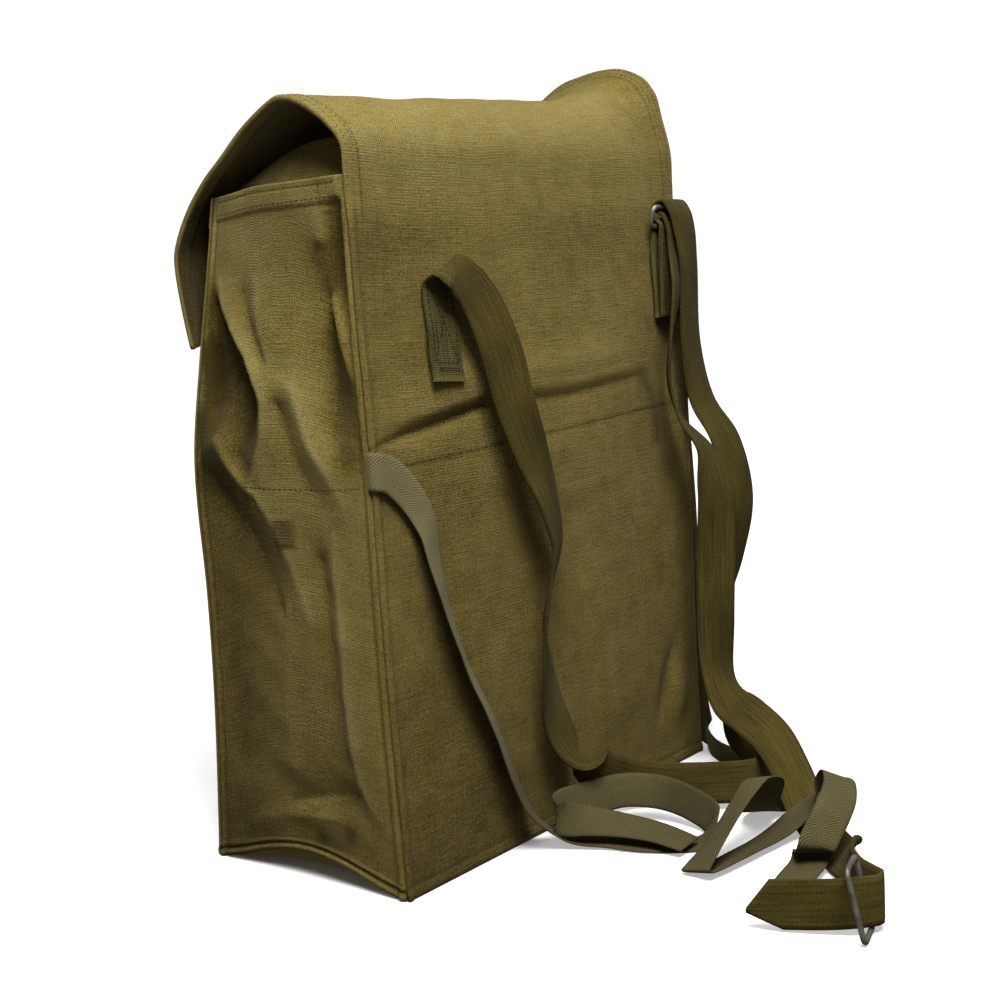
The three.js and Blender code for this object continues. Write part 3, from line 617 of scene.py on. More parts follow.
class Shader:
    """A procedural material under construction."""

    def __init__(self, name: str) -> None:
        """Makes an empty material with a principled shader.

        Args:
            name: name of the material.
        """
        self.material = bpy.data.materials.new(name)
        self.material.use_nodes = True
        self.tree = self.material.node_tree
        self.surface = self.tree.nodes["Principled BSDF"]

    def node(self, kind: str, **settings: object) -> bpy.types.Node:
        """Adds a node with settings.

        Args:
            kind: Blender's name for the node.
            settings: its properties.

        Returns:
            The node.
        """
        made = self.tree.nodes.new(kind)
        for key, value in settings.items():
            setattr(made, key, value)
        return made

    def feed(self, target: Socket, value: Value | Sequence[float]) -> None:
        """Links a socket to a target, or sets the target's own value.

        Args:
            target: input of a node.
            value: what it gets.
        """
        if isinstance(value, Socket):
            self.tree.links.new(value, target)
        else:
            target.default_value = value

    def math(self, operation: str, first: Value, second: Value = 0.0) -> Socket:
        """Result of a sum on one or two values.

        Args:
            operation: Blender's name for the sum.
            first: first value.
            second: second value.

        Returns:
            The result.
        """
        made = self.node("ShaderNodeMath", operation=operation)
        self.feed(made.inputs[0], first)
        self.feed(made.inputs[1], second)
        return made.outputs[0]

    def total(self, *values: Value) -> Socket:
        """Sum of several values.

        Args:
            values: what is added up.

        Returns:
            The sum.
        """
        result = values[0]
        for value in values[1:]:
            result = self.math("ADD", result, value)
        return result

    def times(self, first: Socket, second: Value) -> Socket:
        """Product of two values."""
        return self.math("MULTIPLY", first, second)

    def weigh(self, *terms: tuple[Socket, float]) -> Socket:
        """Sum of several values, each times its weight."""
        return self.total(*(self.times(value, weight) for value, weight in terms))

    def around(self, value: Socket, share: float, middle: float = 0.5) -> Socket:
        """A share of how far a value lies above its middle."""
        return self.times(self.total(value, -middle), share)

    def mix(self, factor: Value, low: Tint, high: Tint) -> Socket:
        """A colour between two colours.

        Args:
            factor: 0 for low and 1 for high.
            low: one colour.
            high: the other colour.

        Returns:
            The colour.
        """
        made = self.node("ShaderNodeMix", data_type="RGBA")
        self.feed(made.inputs[0], factor)
        self.feed(made.inputs[6], low)
        self.feed(made.inputs[7], high)
        return made.outputs[2]

    def fade(self, tone: Socket, base: Colour, faded: Colour, deep: Colour) -> Socket:
        """The base colour, which goes to faded as the tone rises and to deep as it falls."""
        colour = self.mix(self.ramp(tone, 0.0, TONE_REACH), linear(*base), linear(*faded))
        return self.mix(self.ramp(tone, 0.0, -TONE_REACH), colour, linear(*deep))

    def plain(self, **values: float | Sequence[float]) -> None:
        """Sets the shader's own sockets, named with underscores in place of spaces."""
        for name, value in values.items():
            self.surface.inputs[name.replace("_", " ")].default_value = value

    def cloth_uv(self) -> tuple[Socket, Socket]:
        """The two coordinates on the flat cloth, in millimetres."""
        split = self.node("ShaderNodeSeparateXYZ")
        self.feed(split.inputs[0], self.node("ShaderNodeUVMap", uv_map=UV_NAME).outputs[0])
        return self.times(split.outputs[0], 1 / MM), self.times(split.outputs[1], 1 / MM)

    def grain(self, place: Socket, scale: float, detail: float) -> Socket:
        """Smooth noise from 0 to 1 in space.

        Args:
            place: point in space.
            scale: how fine the noise is.
            detail: octaves.

        Returns:
            The noise.
        """
        made = self.node("ShaderNodeTexNoise")
        self.feed(made.inputs["Vector"], place)
        made.inputs["Scale"].default_value = scale
        made.inputs["Detail"].default_value = detail
        return made.outputs[0]

    def noise(self, u: Socket, v: Socket, sizes: Pair, detail: float, shift: float) -> Socket:
        """Smooth noise from 0 to 1 on the cloth.

        Args:
            u: first coordinate in millimetres.
            v: second coordinate in millimetres.
            sizes: size of the spots along u and v.
            detail: octaves.
            shift: moves to another part of the noise.

        Returns:
            The noise.
        """
        place = self.node("ShaderNodeCombineXYZ")
        self.feed(place.inputs[0], self.times(u, 1 / sizes[0]))
        self.feed(place.inputs[1], self.times(v, 1 / sizes[1]))
        place.inputs[2].default_value = shift
        return self.grain(place.outputs[0], 1.0, detail)

    def wave(self, at: Socket, pitch: float) -> Socket:
        """A sine wave of one pitch."""
        return self.math("SINE", self.times(at, 2 * math.pi / pitch))

    def ramp(self, value: Socket, low: float, high: float) -> Socket:
        """A value stretched so that low becomes 0 and high becomes 1.

        Args:
            value: the value.
            low: where the result is 0.
            high: where it is 1.

        Returns:
            The stretched value, held between 0 and 1.
        """
        made = self.node("ShaderNodeMapRange", clamp=True)
        self.feed(made.inputs["Value"], value)
        made.inputs["From Min"].default_value = low
        made.inputs["From Max"].default_value = high
        return made.outputs[0]

    def attribute(self, name: str) -> Socket:
        """A number stored on the mesh's points."""
        return self.node("ShaderNodeAttribute", attribute_name=name).outputs["Fac"]

    def finish(self, colour: Socket, height: Socket, depth: float, roughness: Value) -> Material:
        """Joins colour, bump and roughness to the shader.

        Args:
            colour: base colour.
            height: bump height of about -1 to 1.
            depth: bump depth in millimetres.
            roughness: roughness of the surface.

        Returns:
            The finished material.
        """
        relief = self.node("ShaderNodeBump")
        relief.inputs["Strength"].default_value = 1.0
        relief.inputs["Distance"].default_value = depth * MM
        self.feed(relief.inputs["Height"], height)
        self.feed(self.surface.inputs["Base Color"], colour)
        self.feed(self.surface.inputs["Roughness"], roughness)
        self.feed(self.surface.inputs["Normal"], relief.outputs[0])
        return self.material


@dataclass(frozen=True)
class CanvasFinish:
    """Plain-weave cotton canvas, faded and painted lighter on ridges, with painted shade in dents.

    Attributes:
        name: name of the material.
        base: usual colour.
        faded: colour of worn places and of painted highlights.
        deep: colour of shaded threads and dents.
        stain_and_painted_shade: colour of stained places and of painted shade.
        pitch: distance from thread to thread in millimetres.
    """

    name: str = "canvas"
    base: Colour = (111, 97, 47)
    faded: Colour = (134, 123, 79)
    deep: Colour = (64, 54, 20)
    stain_and_painted_shade: Colour = (34, 29, 14)
    pitch: float = 1.25

    def material(self) -> Material:
        """Builds the material.

        Returns:
            The material.
        """
        shader = Shader(self.name)
        u, v = shader.cloth_uv()
        wander_u = shader.times(shader.noise(u, v, (9, 9), 2, 1.3), 0.5)
        wander_v = shader.times(shader.noise(u, v, (9, 9), 2, 4.1), 0.5)
        warp = shader.wave(shader.total(u, wander_u), self.pitch)
        weft = shader.wave(shader.total(v, wander_v), self.pitch * 1.1)
        weave = shader.weigh((weft, 0.22), (shader.times(warp, weft), 0.78))
        slub_u = shader.noise(u, v, (12, 0.8), 1, 7.7)
        slub_v = shader.noise(u, v, (0.8, 12), 1, 2.2)
        speck = shader.noise(u, v, (1.3, 1.3), 3, 5.0)
        cloudy = shader.noise(u, v, (60, 75), 4, 9.0)
        patchy = shader.noise(u, v, (11, 14), 3, 3.0)
        tone = shader.total(
            shader.around(cloudy, 0.55),
            shader.around(patchy, 0.4),
            shader.around(slub_u, 0.5),
            shader.around(slub_v, 0.4),
            shader.around(speck, 1.3),
            shader.times(weave, 0.24),
            shader.attribute("wear_and_painted_light"),
        )
        colour = shader.fade(tone, self.base, self.faded, self.deep)
        colour = shader.mix(shader.attribute("stain_and_painted_shade"), colour, linear(*self.stain_and_painted_shade))
        height = shader.weigh((weave, 0.5), (slub_u, 0.7), (slub_v, 0.7), (speck, 0.6))
        shader.plain(Sheen_Weight=0.03, Sheen_Roughness=0.6, Specular_IOR_Level=0.04)
        return shader.finish(colour, height, 0.32, 0.95)


@dataclass(frozen=True)
class WebbingFinish:
    """Cotton webbing with ribs across and channels along.

    Attributes:
        name: name of the material.
        base: usual colour.
        faded: colour of the rib crests.
        deep: colour between ribs and at the edges.
        sewn: colour of the patches that are sewn down.
        rib: distance from rib to rib.
        channel: distance from channel to channel.
    """

    name: str = "webbing"
    base: Colour = (61, 53, 20)
    faded: Colour = (87, 76, 32)
    deep: Colour = (36, 30, 10)
    sewn: Colour = (96, 89, 46)
    rib: float = 1.15
    channel: float = 2.55

    def material(self) -> Material:
        """Builds the material.

        Returns:
            The material.
        """
        shader = Shader(self.name)
        u, v = shader.cloth_uv()
        wander = shader.times(shader.noise(u, v, (3, 6), 2, 1.0), 0.5)
        rib = shader.wave(shader.total(v, wander), self.rib)
        column = shader.wave(u, self.channel * 2)
        groove = shader.math("POWER", shader.math("ABSOLUTE", column), 0.3)
        streak = shader.noise(u, v, (1.1, 34), 2, 9.0)
        speck = shader.noise(u, v, (1.2, 1.2), 3, 6.0)
        cloudy = shader.noise(u, v, (22, 40), 3, 2.0)
        edge = shader.ramp(shader.math("ABSOLUTE", u), STRAP_WIDTH * 0.4, STRAP_WIDTH * 0.5)
        tone = shader.total(
            shader.times(rib, 0.12),
            shader.around(groove, 0.22, 0.85),
            shader.around(streak, 1.1),
            shader.around(speck, 0.8),
            shader.around(cloudy, 1.0),
            shader.times(edge, -0.2),
            shader.attribute("wear_and_painted_light"),
        )
        colour = shader.fade(tone, self.base, self.faded, self.deep)
        dull = shader.mix(shader.ramp(tone, -0.5, 0.6), linear(*self.deep), linear(*self.sewn))
        colour = shader.mix(shader.attribute("stain_and_painted_shade"), colour, dull)
        height = shader.weigh((rib, 0.25), (groove, 0.4), (speck, 0.8))
        shader.plain(Sheen_Weight=0.02, Sheen_Roughness=0.6, Specular_IOR_Level=0.06)
        return shader.finish(colour, height, 0.24, 0.9)


@dataclass(frozen=True)
class TapeFinish:
    """Thin cotton tape in a herringbone twill.

    Attributes:
        name: name of the material.
        base: usual colour.
        faded: colour of the twill's raised lines.
        deep: colour between the lines.
        line: distance from line to line along the tape.
        column: width of one half of the herringbone.
    """

    name: str = "tape"
    base: Colour = (100, 93, 60)
    faded: Colour = (138, 130, 97)
    deep: Colour = (60, 54, 32)
    line: float = 1.6
    column: float = 4.5

    def material(self) -> Material:
        """Builds the material.

        Returns:
            The material.
        """
        shader = Shader(self.name)
        u, v = shader.cloth_uv()
        zigzag = shader.math("PINGPONG", shader.total(u, TAPE_WIDTH), self.column)
        wander = shader.times(shader.noise(u, v, (4, 4), 2, 3.0), 0.5)
        twill = shader.wave(shader.total(v, zigzag, wander), self.line)
        speck = shader.noise(u, v, (0.9, 0.9), 3, 6.0)
        cloudy = shader.noise(u, v, (20, 30), 3, 2.0)
        edge = shader.ramp(shader.math("ABSOLUTE", u), TAPE_WIDTH * 0.44, TAPE_WIDTH * 0.5)
        tone = shader.total(
            shader.times(twill, 0.3),
            shader.around(speck, 0.6),
            shader.around(cloudy, 0.5),
            shader.times(edge, -0.25),
            shader.attribute("wear_and_painted_light"),
        )
        colour = shader.fade(tone, self.base, self.faded, self.deep)
        colour = shader.mix(shader.attribute("stain_and_painted_shade"), colour, linear(*self.deep))
        height = shader.weigh((twill, 0.5), (speck, 0.5))
        shader.plain(Sheen_Weight=0.02, Sheen_Roughness=0.6, Specular_IOR_Level=0.06)
        return shader.finish(colour, height, 0.13, 0.93)


@dataclass(frozen=True)
class ThreadFinish:
    """Cotton sewing thread.

    Attributes:
        name: name of the material.
        base: usual colour.
        deep: darker colour.
        twist: length of one turn of the ply.
    """

    name: str = "thread"
    base: Colour = (86, 74, 36)
    deep: Colour = (54, 45, 20)
    twist: float = 0.5

    def material(self) -> Material:
        """Builds the material.

        Returns:
            The material.
        """
        shader = Shader(self.name)
        u, v = shader.cloth_uv()
        ply = shader.wave(shader.total(v, u), self.twist)
        change = shader.noise(u, v, (1.5, 1.5), 2, 2.0)
        tone = shader.total(shader.times(ply, 0.25), change)
        colour = shader.mix(shader.ramp(tone, 0.2, 0.8), linear(*self.deep), linear(*self.base))
        shader.plain(Specular_IOR_Level=0.2)
        return shader.finish(colour, ply, 0.06, 0.85)


@dataclass(frozen=True)
class WireFinish:
    """Dull steel wire with a brown tarnish.

    Attributes:
        name: name of the material.
        bright: colour of rubbed metal.
        dull: colour of the tarnish.
    """

    name: str = "wire"
    bright: Colour = (150, 146, 134)
    dull: Colour = (88, 80, 64)

    def material(self) -> Material:
        """Builds the material.

        Returns:
            The material.
        """
        shader = Shader(self.name)
        place = shader.node("ShaderNodeTexCoord").outputs["Object"]
        worn = shader.ramp(shader.grain(place, 110.0, 4.0), 0.35, 0.65)
        colour = shader.mix(worn, linear(*self.dull), linear(*self.bright))
        shader.plain(Metallic=0.85)
        rough = shader.total(shader.times(worn, -0.3), 0.75)
        return shader.finish(colour, shader.grain(place, 2600.0, 2.0), 0.03, rough)


@dataclass
class Finishes:
    """The materials of the bag, made once."""

    canvas: Material = field(default_factory=CanvasFinish().material)
    webbing: Material = field(default_factory=WebbingFinish().material)
    tape: Material = field(default_factory=TapeFinish().material)
    thread: Material = field(default_factory=ThreadFinish().material)
    dark_thread: Material = field(
        default_factory=ThreadFinish("dark_thread", (44, 38, 20), (24, 20, 10)).material
    )
    wire: Material = field(default_factory=WireFinish().material)


# Meshes


def make_object(
    name: str, points: Array, faces: Faces, uv: Array, marks: Marks, material: Material
) -> Piece:
    """Makes a smooth mesh object from points in millimetres.

    Args:
        name: name of the object.
        points: points, one row each.
        faces: point numbers of each face.
        uv: flat cloth coordinates of each point in millimetres.
        marks: numbers stored on the points by name.
        material: material of the whole object.

    Returns:
        The new object.
    """
    mesh = bpy.data.meshes.new(name)
    mesh.from_pydata((points * MM).tolist(), [], faces)
    mesh.polygons.foreach_set("use_smooth", np.ones(len(mesh.polygons), bool))
    corner = np.empty(len(mesh.loops), np.int32)
    mesh.loops.foreach_get("vertex_index", corner)
    layer = mesh.uv_layers.new(name=UV_NAME)
    layer.data.foreach_set("uv", (uv[corner] * MM).astype(np.float32).ravel())
    # Wear and stains, with the painted light and shade that the panels add to them
    for mark in ("wear_and_painted_light", "stain_and_painted_shade"):
        values = marks.get(mark, np.zeros(len(points)))
        stored = mesh.attributes.new(mark, "FLOAT", "POINT")
        stored.data.foreach_set("value", values.astype(np.float32).ravel())
    mesh.materials.append(material)
    mesh.update()
    made = bpy.data.objects.new(name, mesh)
    bpy.context.scene.collection.objects.link(made)
    return made


def grid_faces(rows: int, columns: int, start: int = 0, flip: bool = False) -> Faces:
    """Quads of a grid of points that are numbered row by row."""
    index = start + np.arange(rows * columns).reshape(rows, columns)
    quads = np.stack([index[:-1, :-1], index[:-1, 1:], index[1:, 1:], index[1:, :-1]], -1).reshape(-1, 4)
    return (quads[:, ::-1] if flip else quads).tolist()


def border(rows: int, columns: int) -> Array:
    """Point numbers round the rim of a grid, in order."""
    index = np.arange(rows * columns).reshape(rows, columns)
    return np.concatenate([index[0, :-1], index[:-1, -1], index[-1, :0:-1], index[:0:-1, 0]])


def rim_outwards(grid: Array) -> Array:
    """Directions that point off the cloth at its rim, zero elsewhere.

    Args:
        grid: points of the cloth.

    Returns:
        The directions.
    """
    out = np.zeros_like(grid)
    out[0] += unit(grid[0] - grid[1])
    out[-1] += unit(grid[-1] - grid[-2])
    out[:, 0] += unit(grid[:, 0] - grid[:, 1])
    out[:, -1] += unit(grid[:, -1] - grid[:, -2])
    return unit(out)


def cloth_wall(
    name: str, outer: Array, inner: Array, uv: Array, marks: Marks, material: Material
) -> Piece:
    """A closed cloth wall with a rounded rim.

    Args:
        name: name of the object.
        outer: grid of points of the outer face.
        inner: grid of points of the inner face.
        uv: flat cloth coordinates of the grid.
        marks: numbers stored on the grid's points by name.
        material: material of the wall.

    Returns:
        The new object.
    """
    rows, columns = outer.shape[:2]
    count = rows * columns
    rim = border(rows, columns)
    flat_outer, flat_inner = outer.reshape(-1, 3), inner.reshape(-1, 3)
    away = rim_outwards(outer).reshape(-1, 3)[rim]
    across = flat_inner[rim] - flat_outer[rim]
    half = np.linalg.norm(across, axis=1, keepdims=True) / 2
    rings = []
    for angle in RIM_ANGLES:
        ring = flat_outer[rim] + across * (1 - math.cos(angle)) / 2
        ring += away * half * math.sin(angle) * RIM_BULGE
        ring[:, 2] = np.maximum(ring[:, 2], CLOTH_FLOOR)
        rings.append(ring)
    points = np.concatenate([flat_outer, flat_inner, *rings])
    faces = grid_faces(rows, columns) + grid_faces(rows, columns, count, True)
    around = 2 * count + np.arange(len(rings) * len(rim)).reshape(len(rings), len(rim))
    loops = [rim, *around, rim + count]
    for low, high in zip(loops, loops[1:]):
        faces += np.stack([low, high, np.roll(high, -1), np.roll(low, -1)], -1).tolist()
    source = np.concatenate([np.arange(count)] * 2 + [rim] * len(rings))
    flat = np.concatenate([uv, np.zeros((rows, columns, 1))], axis=-1)
    off_cloth = rim_outwards(flat).reshape(-1, 3)[rim, :2]
    turn = [angle * half * off_cloth for angle in RIM_ANGLES]
    flat_uv = uv.reshape(-1, 2)[source] + np.concatenate([np.zeros((2 * count, 2)), *turn])
    zero = np.zeros((rows, columns))
    flat_marks = {key: marks.get(key, zero).reshape(-1)[source] for key in ("wear_and_painted_light", "stain_and_painted_shade")}
    # The inner face gets its own tone, unfaded and darkened with painted shade, and more painted shade
    # where the panel gives it
    flat_marks["wear_and_painted_light"][count : 2 * count] = marks.get("inner", zero + INNER_UNFADED_AND_SHADE).reshape(-1)
    flat_marks["stain_and_painted_shade"][count : 2 * count] = marks.get("inner_painted_shade", zero).reshape(-1)
    made = make_object(name, points, faces, flat_uv, flat_marks, material)
    face_outwards(made)
    return made


def face_outwards(made: Piece) -> None:
    """Flips a closed mesh's faces if it is inside out.

    Args:
        made: the piece.
    """
    mesh = made.data
    points = np.empty(len(mesh.vertices) * 3)
    mesh.vertices.foreach_get("co", points)
    points = points.reshape(-1, 3)
    mesh.calc_loop_triangles()
    corners = np.empty(len(mesh.loop_triangles) * 3, np.int32)
    mesh.loop_triangles.foreach_get("vertices", corners)
    a, b, c = points[corners.reshape(-1, 3)].transpose(1, 0, 2)
    if np.einsum("ij,ij->", a, np.cross(b, c)) < 0:
        mesh.flip_normals()
        mesh.update()


def settle_piece(made: Piece, slot: Slot, *nodes: str) -> Piece:
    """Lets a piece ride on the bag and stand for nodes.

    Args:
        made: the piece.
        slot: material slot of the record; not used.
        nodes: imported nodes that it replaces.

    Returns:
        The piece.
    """
    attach(made, BODY)
    if nodes:
        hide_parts(*nodes)
    LOG.info("%s: %d faces", made.name, len(made.data.polygons))
    return made


class Stitches:
    """Rows of short thread stitches, gathered into one piece.

    Attributes:
        RINGS: place along a stitch and share of its thickness, for each ring of points.
        SIDES: points of a ring.
        SHOWN: part of the pitch that shows thread.
    """

    RINGS = ((0.12, 0.75), (0.5, 1.0), (0.88, 0.75))
    SIDES = 6
    SHOWN = 0.72

    def __init__(self, name: str, thick: float) -> None:
        """Starts an empty set of stitches.

        Args:
            name: name of the piece.
            thick: thickness of the thread.
        """
        self.name = name
        self.thick = thick
        self.points: list[Array] = []
        self.faces: Faces = []
        self.uv: list[Array] = []
        self.count = 0

    def row(self, line: Array, normals: Array, pitch: float) -> None:
        """Sews stitches along a line on the cloth.

        Args:
            line: points of the line.
            normals: directions out of the cloth at these points.
            pitch: distance from stitch to stitch.
        """
        lengths = lengths_along(line)
        shown = pitch * self.SHOWN
        for start in np.arange(pitch * 0.2, lengths[-1] - shown, pitch):
            stops = np.array([start, start + shown])
            first, last = read_along(stops, lengths, line)
            self.stitch(first, last, unit(read_along(stops.mean(), lengths, normals)))

    def stitch(self, start: Array, end: Array, out: Array) -> None:
        """Adds one stitch, which stands half out of the cloth.

        Args:
            start: where it starts.
            end: where it ends.
            out: direction off the cloth.
        """
        along = end - start
        side = unit(np.cross(along, out))
        radius = self.thick / 2
        lift = out * radius * 0.35
        turn = np.arange(self.SIDES) / self.SIDES * 2 * np.pi
        ring = np.cos(turn)[:, None] * side + np.sin(turn)[:, None] * out
        rows = [start + along * t + lift + ring * radius * r for t, r in self.RINGS]
        tips = [start - out * radius * 0.4, end - out * radius * 0.4]
        points = np.concatenate([*rows, np.array(tips)])
        base, sides, last = self.count, self.SIDES, len(self.RINGS) - 1
        tip_start = base + sides * len(self.RINGS)
        for k in range(sides):
            nxt = (k + 1) % sides
            for r in range(last):
                low, high = base + r * sides, base + (r + 1) * sides
                self.faces.append([low + k, low + nxt, high + nxt, high + k])
            self.faces.append([base + nxt, base + k, tip_start])
            self.faces.append([base + last * sides + k, base + last * sides + nxt, tip_start + 1])
        self.points.append(points)
        self.uv.append(np.stack([points[:, 0] + points[:, 1], points[:, 2]], -1))
        self.count += len(points)

    def build(self, material: Material, slot: Slot) -> Piece:
        """Makes the piece."""
        points, uv = np.concatenate(self.points), np.concatenate(self.uv)
        return settle_piece(make_object(self.name, points, self.faces, uv, {}, material), slot)


# Panels of the bag


@dataclass
class Panel(ABC):
    """A cloth panel, a surface over two coordinates with relief on it.

    Attributes:
        finishes: materials of the bag.
        stitches: rows of stitches that the panel's seams go to.
        name: name of the piece and of the node that it stands for.
        inwards: direction from the outer face into the bag.
    """

    finishes: Finishes
    stitches: Stitches
    name: str = ""
    inwards: Triple = (-1.0, 0.0, 0.0)

    @abstractmethod
    def surface(self, across: Array, along: Array) -> Array:
        """Points of the outer face."""

    @abstractmethod
    def lines(self) -> tuple[Array, Array]:
        """Grid values across and along."""

    def inside(self, outer: Array) -> Array:
        """Inner face for an outer face, straight inwards from it."""
        inwards = np.array(self.inwards)
        facing = np.maximum(np.abs(grid_normals(outer) @ inwards), LEAST_FACING)
        return outer + inwards * (CLOTH / facing)[..., None]

    def marks(self, outer: Array, across: Array, along: Array) -> Marks:
        """Wear, stains and painted light and shade of the grid's points."""
        return {}

    def sew(self) -> None:
        """Adds the panel's stitches."""

    def stitch_line(self, across: Array | float, along: Array | float, pitch: float) -> None:
        """Sews a row along a line.

        Args:
            across: first panel coordinate of the line's points.
            along: second panel coordinate.
            pitch: distance from stitch to stitch.
        """
        across, along = np.broadcast_arrays(across, along)
        here = self.surface(across, along)
        step = 1e-3
        rise = step * np.ptp(self.lines()[1])
        over = self.surface(across + step, along) - self.surface(across - step, along)
        up = self.surface(across, along + rise) - self.surface(across, along - rise)
        normals = unit(np.cross(over, up))
        normals *= np.sign(np.einsum("ij,ij->i", normals, here - INSIDE_POINT))[:, None]
        self.stitches.row(here, normals, pitch)

    def build(self, flat: Pair) -> Piece:
        """Makes the panel.

        Args:
            flat: width and length of the cut cloth in millimetres; not used.

        Returns:
            The panel.
        """
        columns, rows = self.lines()
        across, along = np.meshgrid(columns, rows)
        outer = self.surface(across, along)
        outer[..., 2] = np.maximum(outer[..., 2], CLOTH_FLOOR)
        steps_over = np.linalg.norm(np.diff(outer, axis=1), axis=-1)
        steps_up = np.linalg.norm(np.diff(outer, axis=0), axis=-1)
        u = np.cumsum(np.pad(steps_over, ((0, 0), (1, 0))), axis=1)
        v = np.cumsum(np.pad(steps_up, ((1, 0), (0, 0))), axis=0)
        uv = np.stack([u - u.mean(axis=1, keepdims=True), v], -1)
        marks = self.marks(outer, across, along)
        made = cloth_wall(self.name, outer, self.inside(outer), uv, marks, self.finishes.canvas)
        settle_piece(made, Slot.CANVAS, self.name)
        self.sew()
        return made


@dataclass
class BackFlap(Panel):
    """Back panel and flap, one cloth: up the back, over the top and down the front.

    The second coordinate is the height up to the top of the back, and then goes on over the flap.
    """

    name: str = "back_flap"
    back_width: float = 268.0
    flap_width: float = 270.0
    back_bulge: float = 4.5
    step_length: float = 16.0
    edge_ridge: float = 2.9
    hem: float = 9.0
    front_hem: float = 13.0
    flap_steps: float = 13.0
    crease: tuple[Fold, ...] = (
        Fold(-1.4, 2.0, CREASE, FoldShape.SHARP, 0.25),
        Fold(-0.45, 1.8, CREASE_END, FoldShape.SHARP, 0.2),
        Fold(1.1, 4.0, ((122, 226), (51, 234), (-17, 233), (-94, 238)), taper=0.15),
        Fold(0.8, 7.0, ((60, 184), (-20, 176), (-80, 186))),
        Fold(-0.9, 7.0, ((-8, 128), (-20, 80), (-22, 30))),
        Fold(1.0, 5.0, ((-46, 118), (-56, 64), (-60, 22)), FoldShape.SHARP),
        Fold(-1.2, 8.0, ((-108, 236), (-112, 180), (-104, 128))),
        Fold(1.1, 6.0, ((-124, 240), (-127, 170), (-124, 110))),
        Fold(1.0, 7.0, ((118, 150), (112, 90), (118, 30))),
        Fold(-0.8, 9.0, ((98, 170), (92, 100), (100, 40))),
        Fold(0.7, 9.0, ((60, 120), (40, 60), (52, 16))),
    )
    # strength, width and line of painted shade along the crease and the stitch row and of a painted
    # highlight on the fold above the crease, and x and z of small stains
    painted_light_lines: tuple[tuple[float, float, Line], ...] = (
        (-0.26, 1.8, ((136, 215), (129, 217), (51, 229))),
        (-0.06, 1.8, ((51, 229), (-17, 227.5), (-100, 232))),
        (-0.3, 1.1, ((112, 206.4), (-109, 214.2))),
        (0.14, 7, ((120, 234), (40, 241), (-95, 244))),
    )
    spots: Line = ((-54.6, 296.4), (21, 268), (-70, 152), (64, 310), (100, 262))

    def lines(self) -> tuple[Array, Array]:
        """Grid values across and along.

        Returns:
            Values across and values along.
        """
        columns = columns_across(self.flap_width, 2.3, 11, 0.8)
        back = spread(0, BACK_TOP, 2.6, ((0, 9, 0.9), (206, 250, 1.3)))
        top = BACK_TOP + self.flap_steps * self.step_length
        flap = spread(BACK_TOP + 2.5, top, 2.5, ((top - 16, top, 0.9),))
        return columns, np.concatenate([back, flap])

    def surface(self, across: Array, along: Array) -> Array:
        """Points of the outer face.

        Args:
            across: share of the panel's width.
            along: height on the back, then length over the flap.

        Returns:
            The points.
        """
        on_back = self.back(across, np.minimum(along, BACK_TOP))
        step = np.maximum(along - BACK_TOP, 0) / self.step_length
        flap = self.flap(across, step)
        joined = smoothstep(along, BACK_TOP - 0.01, BACK_TOP + 0.01)[..., None]
        return on_back * (1 - joined) + flap * joined

    def back(self, across: Array, z: Array) -> Array:
        """Outer face of the back panel with its relief.

        Args:
            across: share of the panel's width.
            z: height.

        Returns:
            The points.
        """
        x, y = between("nearBack", "farBack", z, across)
        fullness = smoothstep(z, 0, 60) * (1 - smoothstep(z, 250, BACK_TOP))
        y += self.back_bulge * swell(across) ** 0.7 * fullness
        y += fold_height(BACK_FOLDS, x, z) * edge_fade(across, 0.1) * smoothstep(z, 6, 40)
        y += fold_height(self.crease, x, z) * edge_fade(across, 0.025) * smoothstep(z, 3, 20)
        y += 0.45 * ripple(x, z, 46, 3) * smoothstep(z, 0, 30) * (1 - smoothstep(z, 300, BACK_TOP))
        return np.stack([x, y + self.back_relief(across, z), z], -1)

    def back_relief(self, across: Array, z: Array) -> Array:
        """Raised seams of the back panel.

        Args:
            across: share of the panel's width.
            z: height.

        Returns:
            The relief.
        """
        ridge = 0.8 * side_bumps(across, self.back_width, 1.6, self.edge_ridge, 0.7)
        groove = -0.2 * side_bumps(across, self.back_width, 4.4, 1.4)
        low = 0.7 * bump(z - 2.5, 3.4) - 0.3 * bump(z - 6.2, 1.8)
        return (ridge + groove) * (1 - smoothstep(z, 318, BACK_TOP)) + low

    def from_side(self, across: Array) -> Array:
        """Distance from the nearer side of the flap."""
        return np.minimum(across, 1 - across) * self.flap_width

    def flap(self, across: Array, step: Array) -> Array:
        """Outer face of the flap with its hems.

        Args:
            across: share of the panel's width.
            step: steps from the top of the back.

        Returns:
            The points.
        """
        far = smooth(FLAP_BLEND, "across", "far", across)
        near_edge, far_edge = (
            [smooth(FLAP, "step", side + axis, step) for axis in "XYZ"] for side in ("near", "far")
        )
        x, y, z = (lerp(*ends) for ends in zip(near_edge, far_edge, (across, far, far)))
        from_end = (self.flap_steps - step) * self.step_length
        raised = np.maximum(
            1 - smoothstep(self.from_side(across), self.hem - 1.4, self.hem),
            1 - smoothstep(from_end, self.front_hem - 1.4, self.front_hem),
        )
        groove = side_bumps(across, self.flap_width, 2.4, 1.3)
        groove += bump(across * self.flap_width - self.hem + 2.2, 1.3)
        height = (0.8 * raised - 0.3 * groove) * smoothstep(step, 0.0, 0.8)
        height += 0.5 * ripple(x, step * self.step_length, 42, 8) * smoothstep(step, 0.2, 2)
        centre_y, centre_z = lerp(8.0, 10.0, far), lerp(318.0, 338.0, far)
        out = unit(np.stack([np.zeros_like(y), y - centre_y, z - centre_z], -1))
        return np.stack([x, y, z], -1) + out * height[..., None]

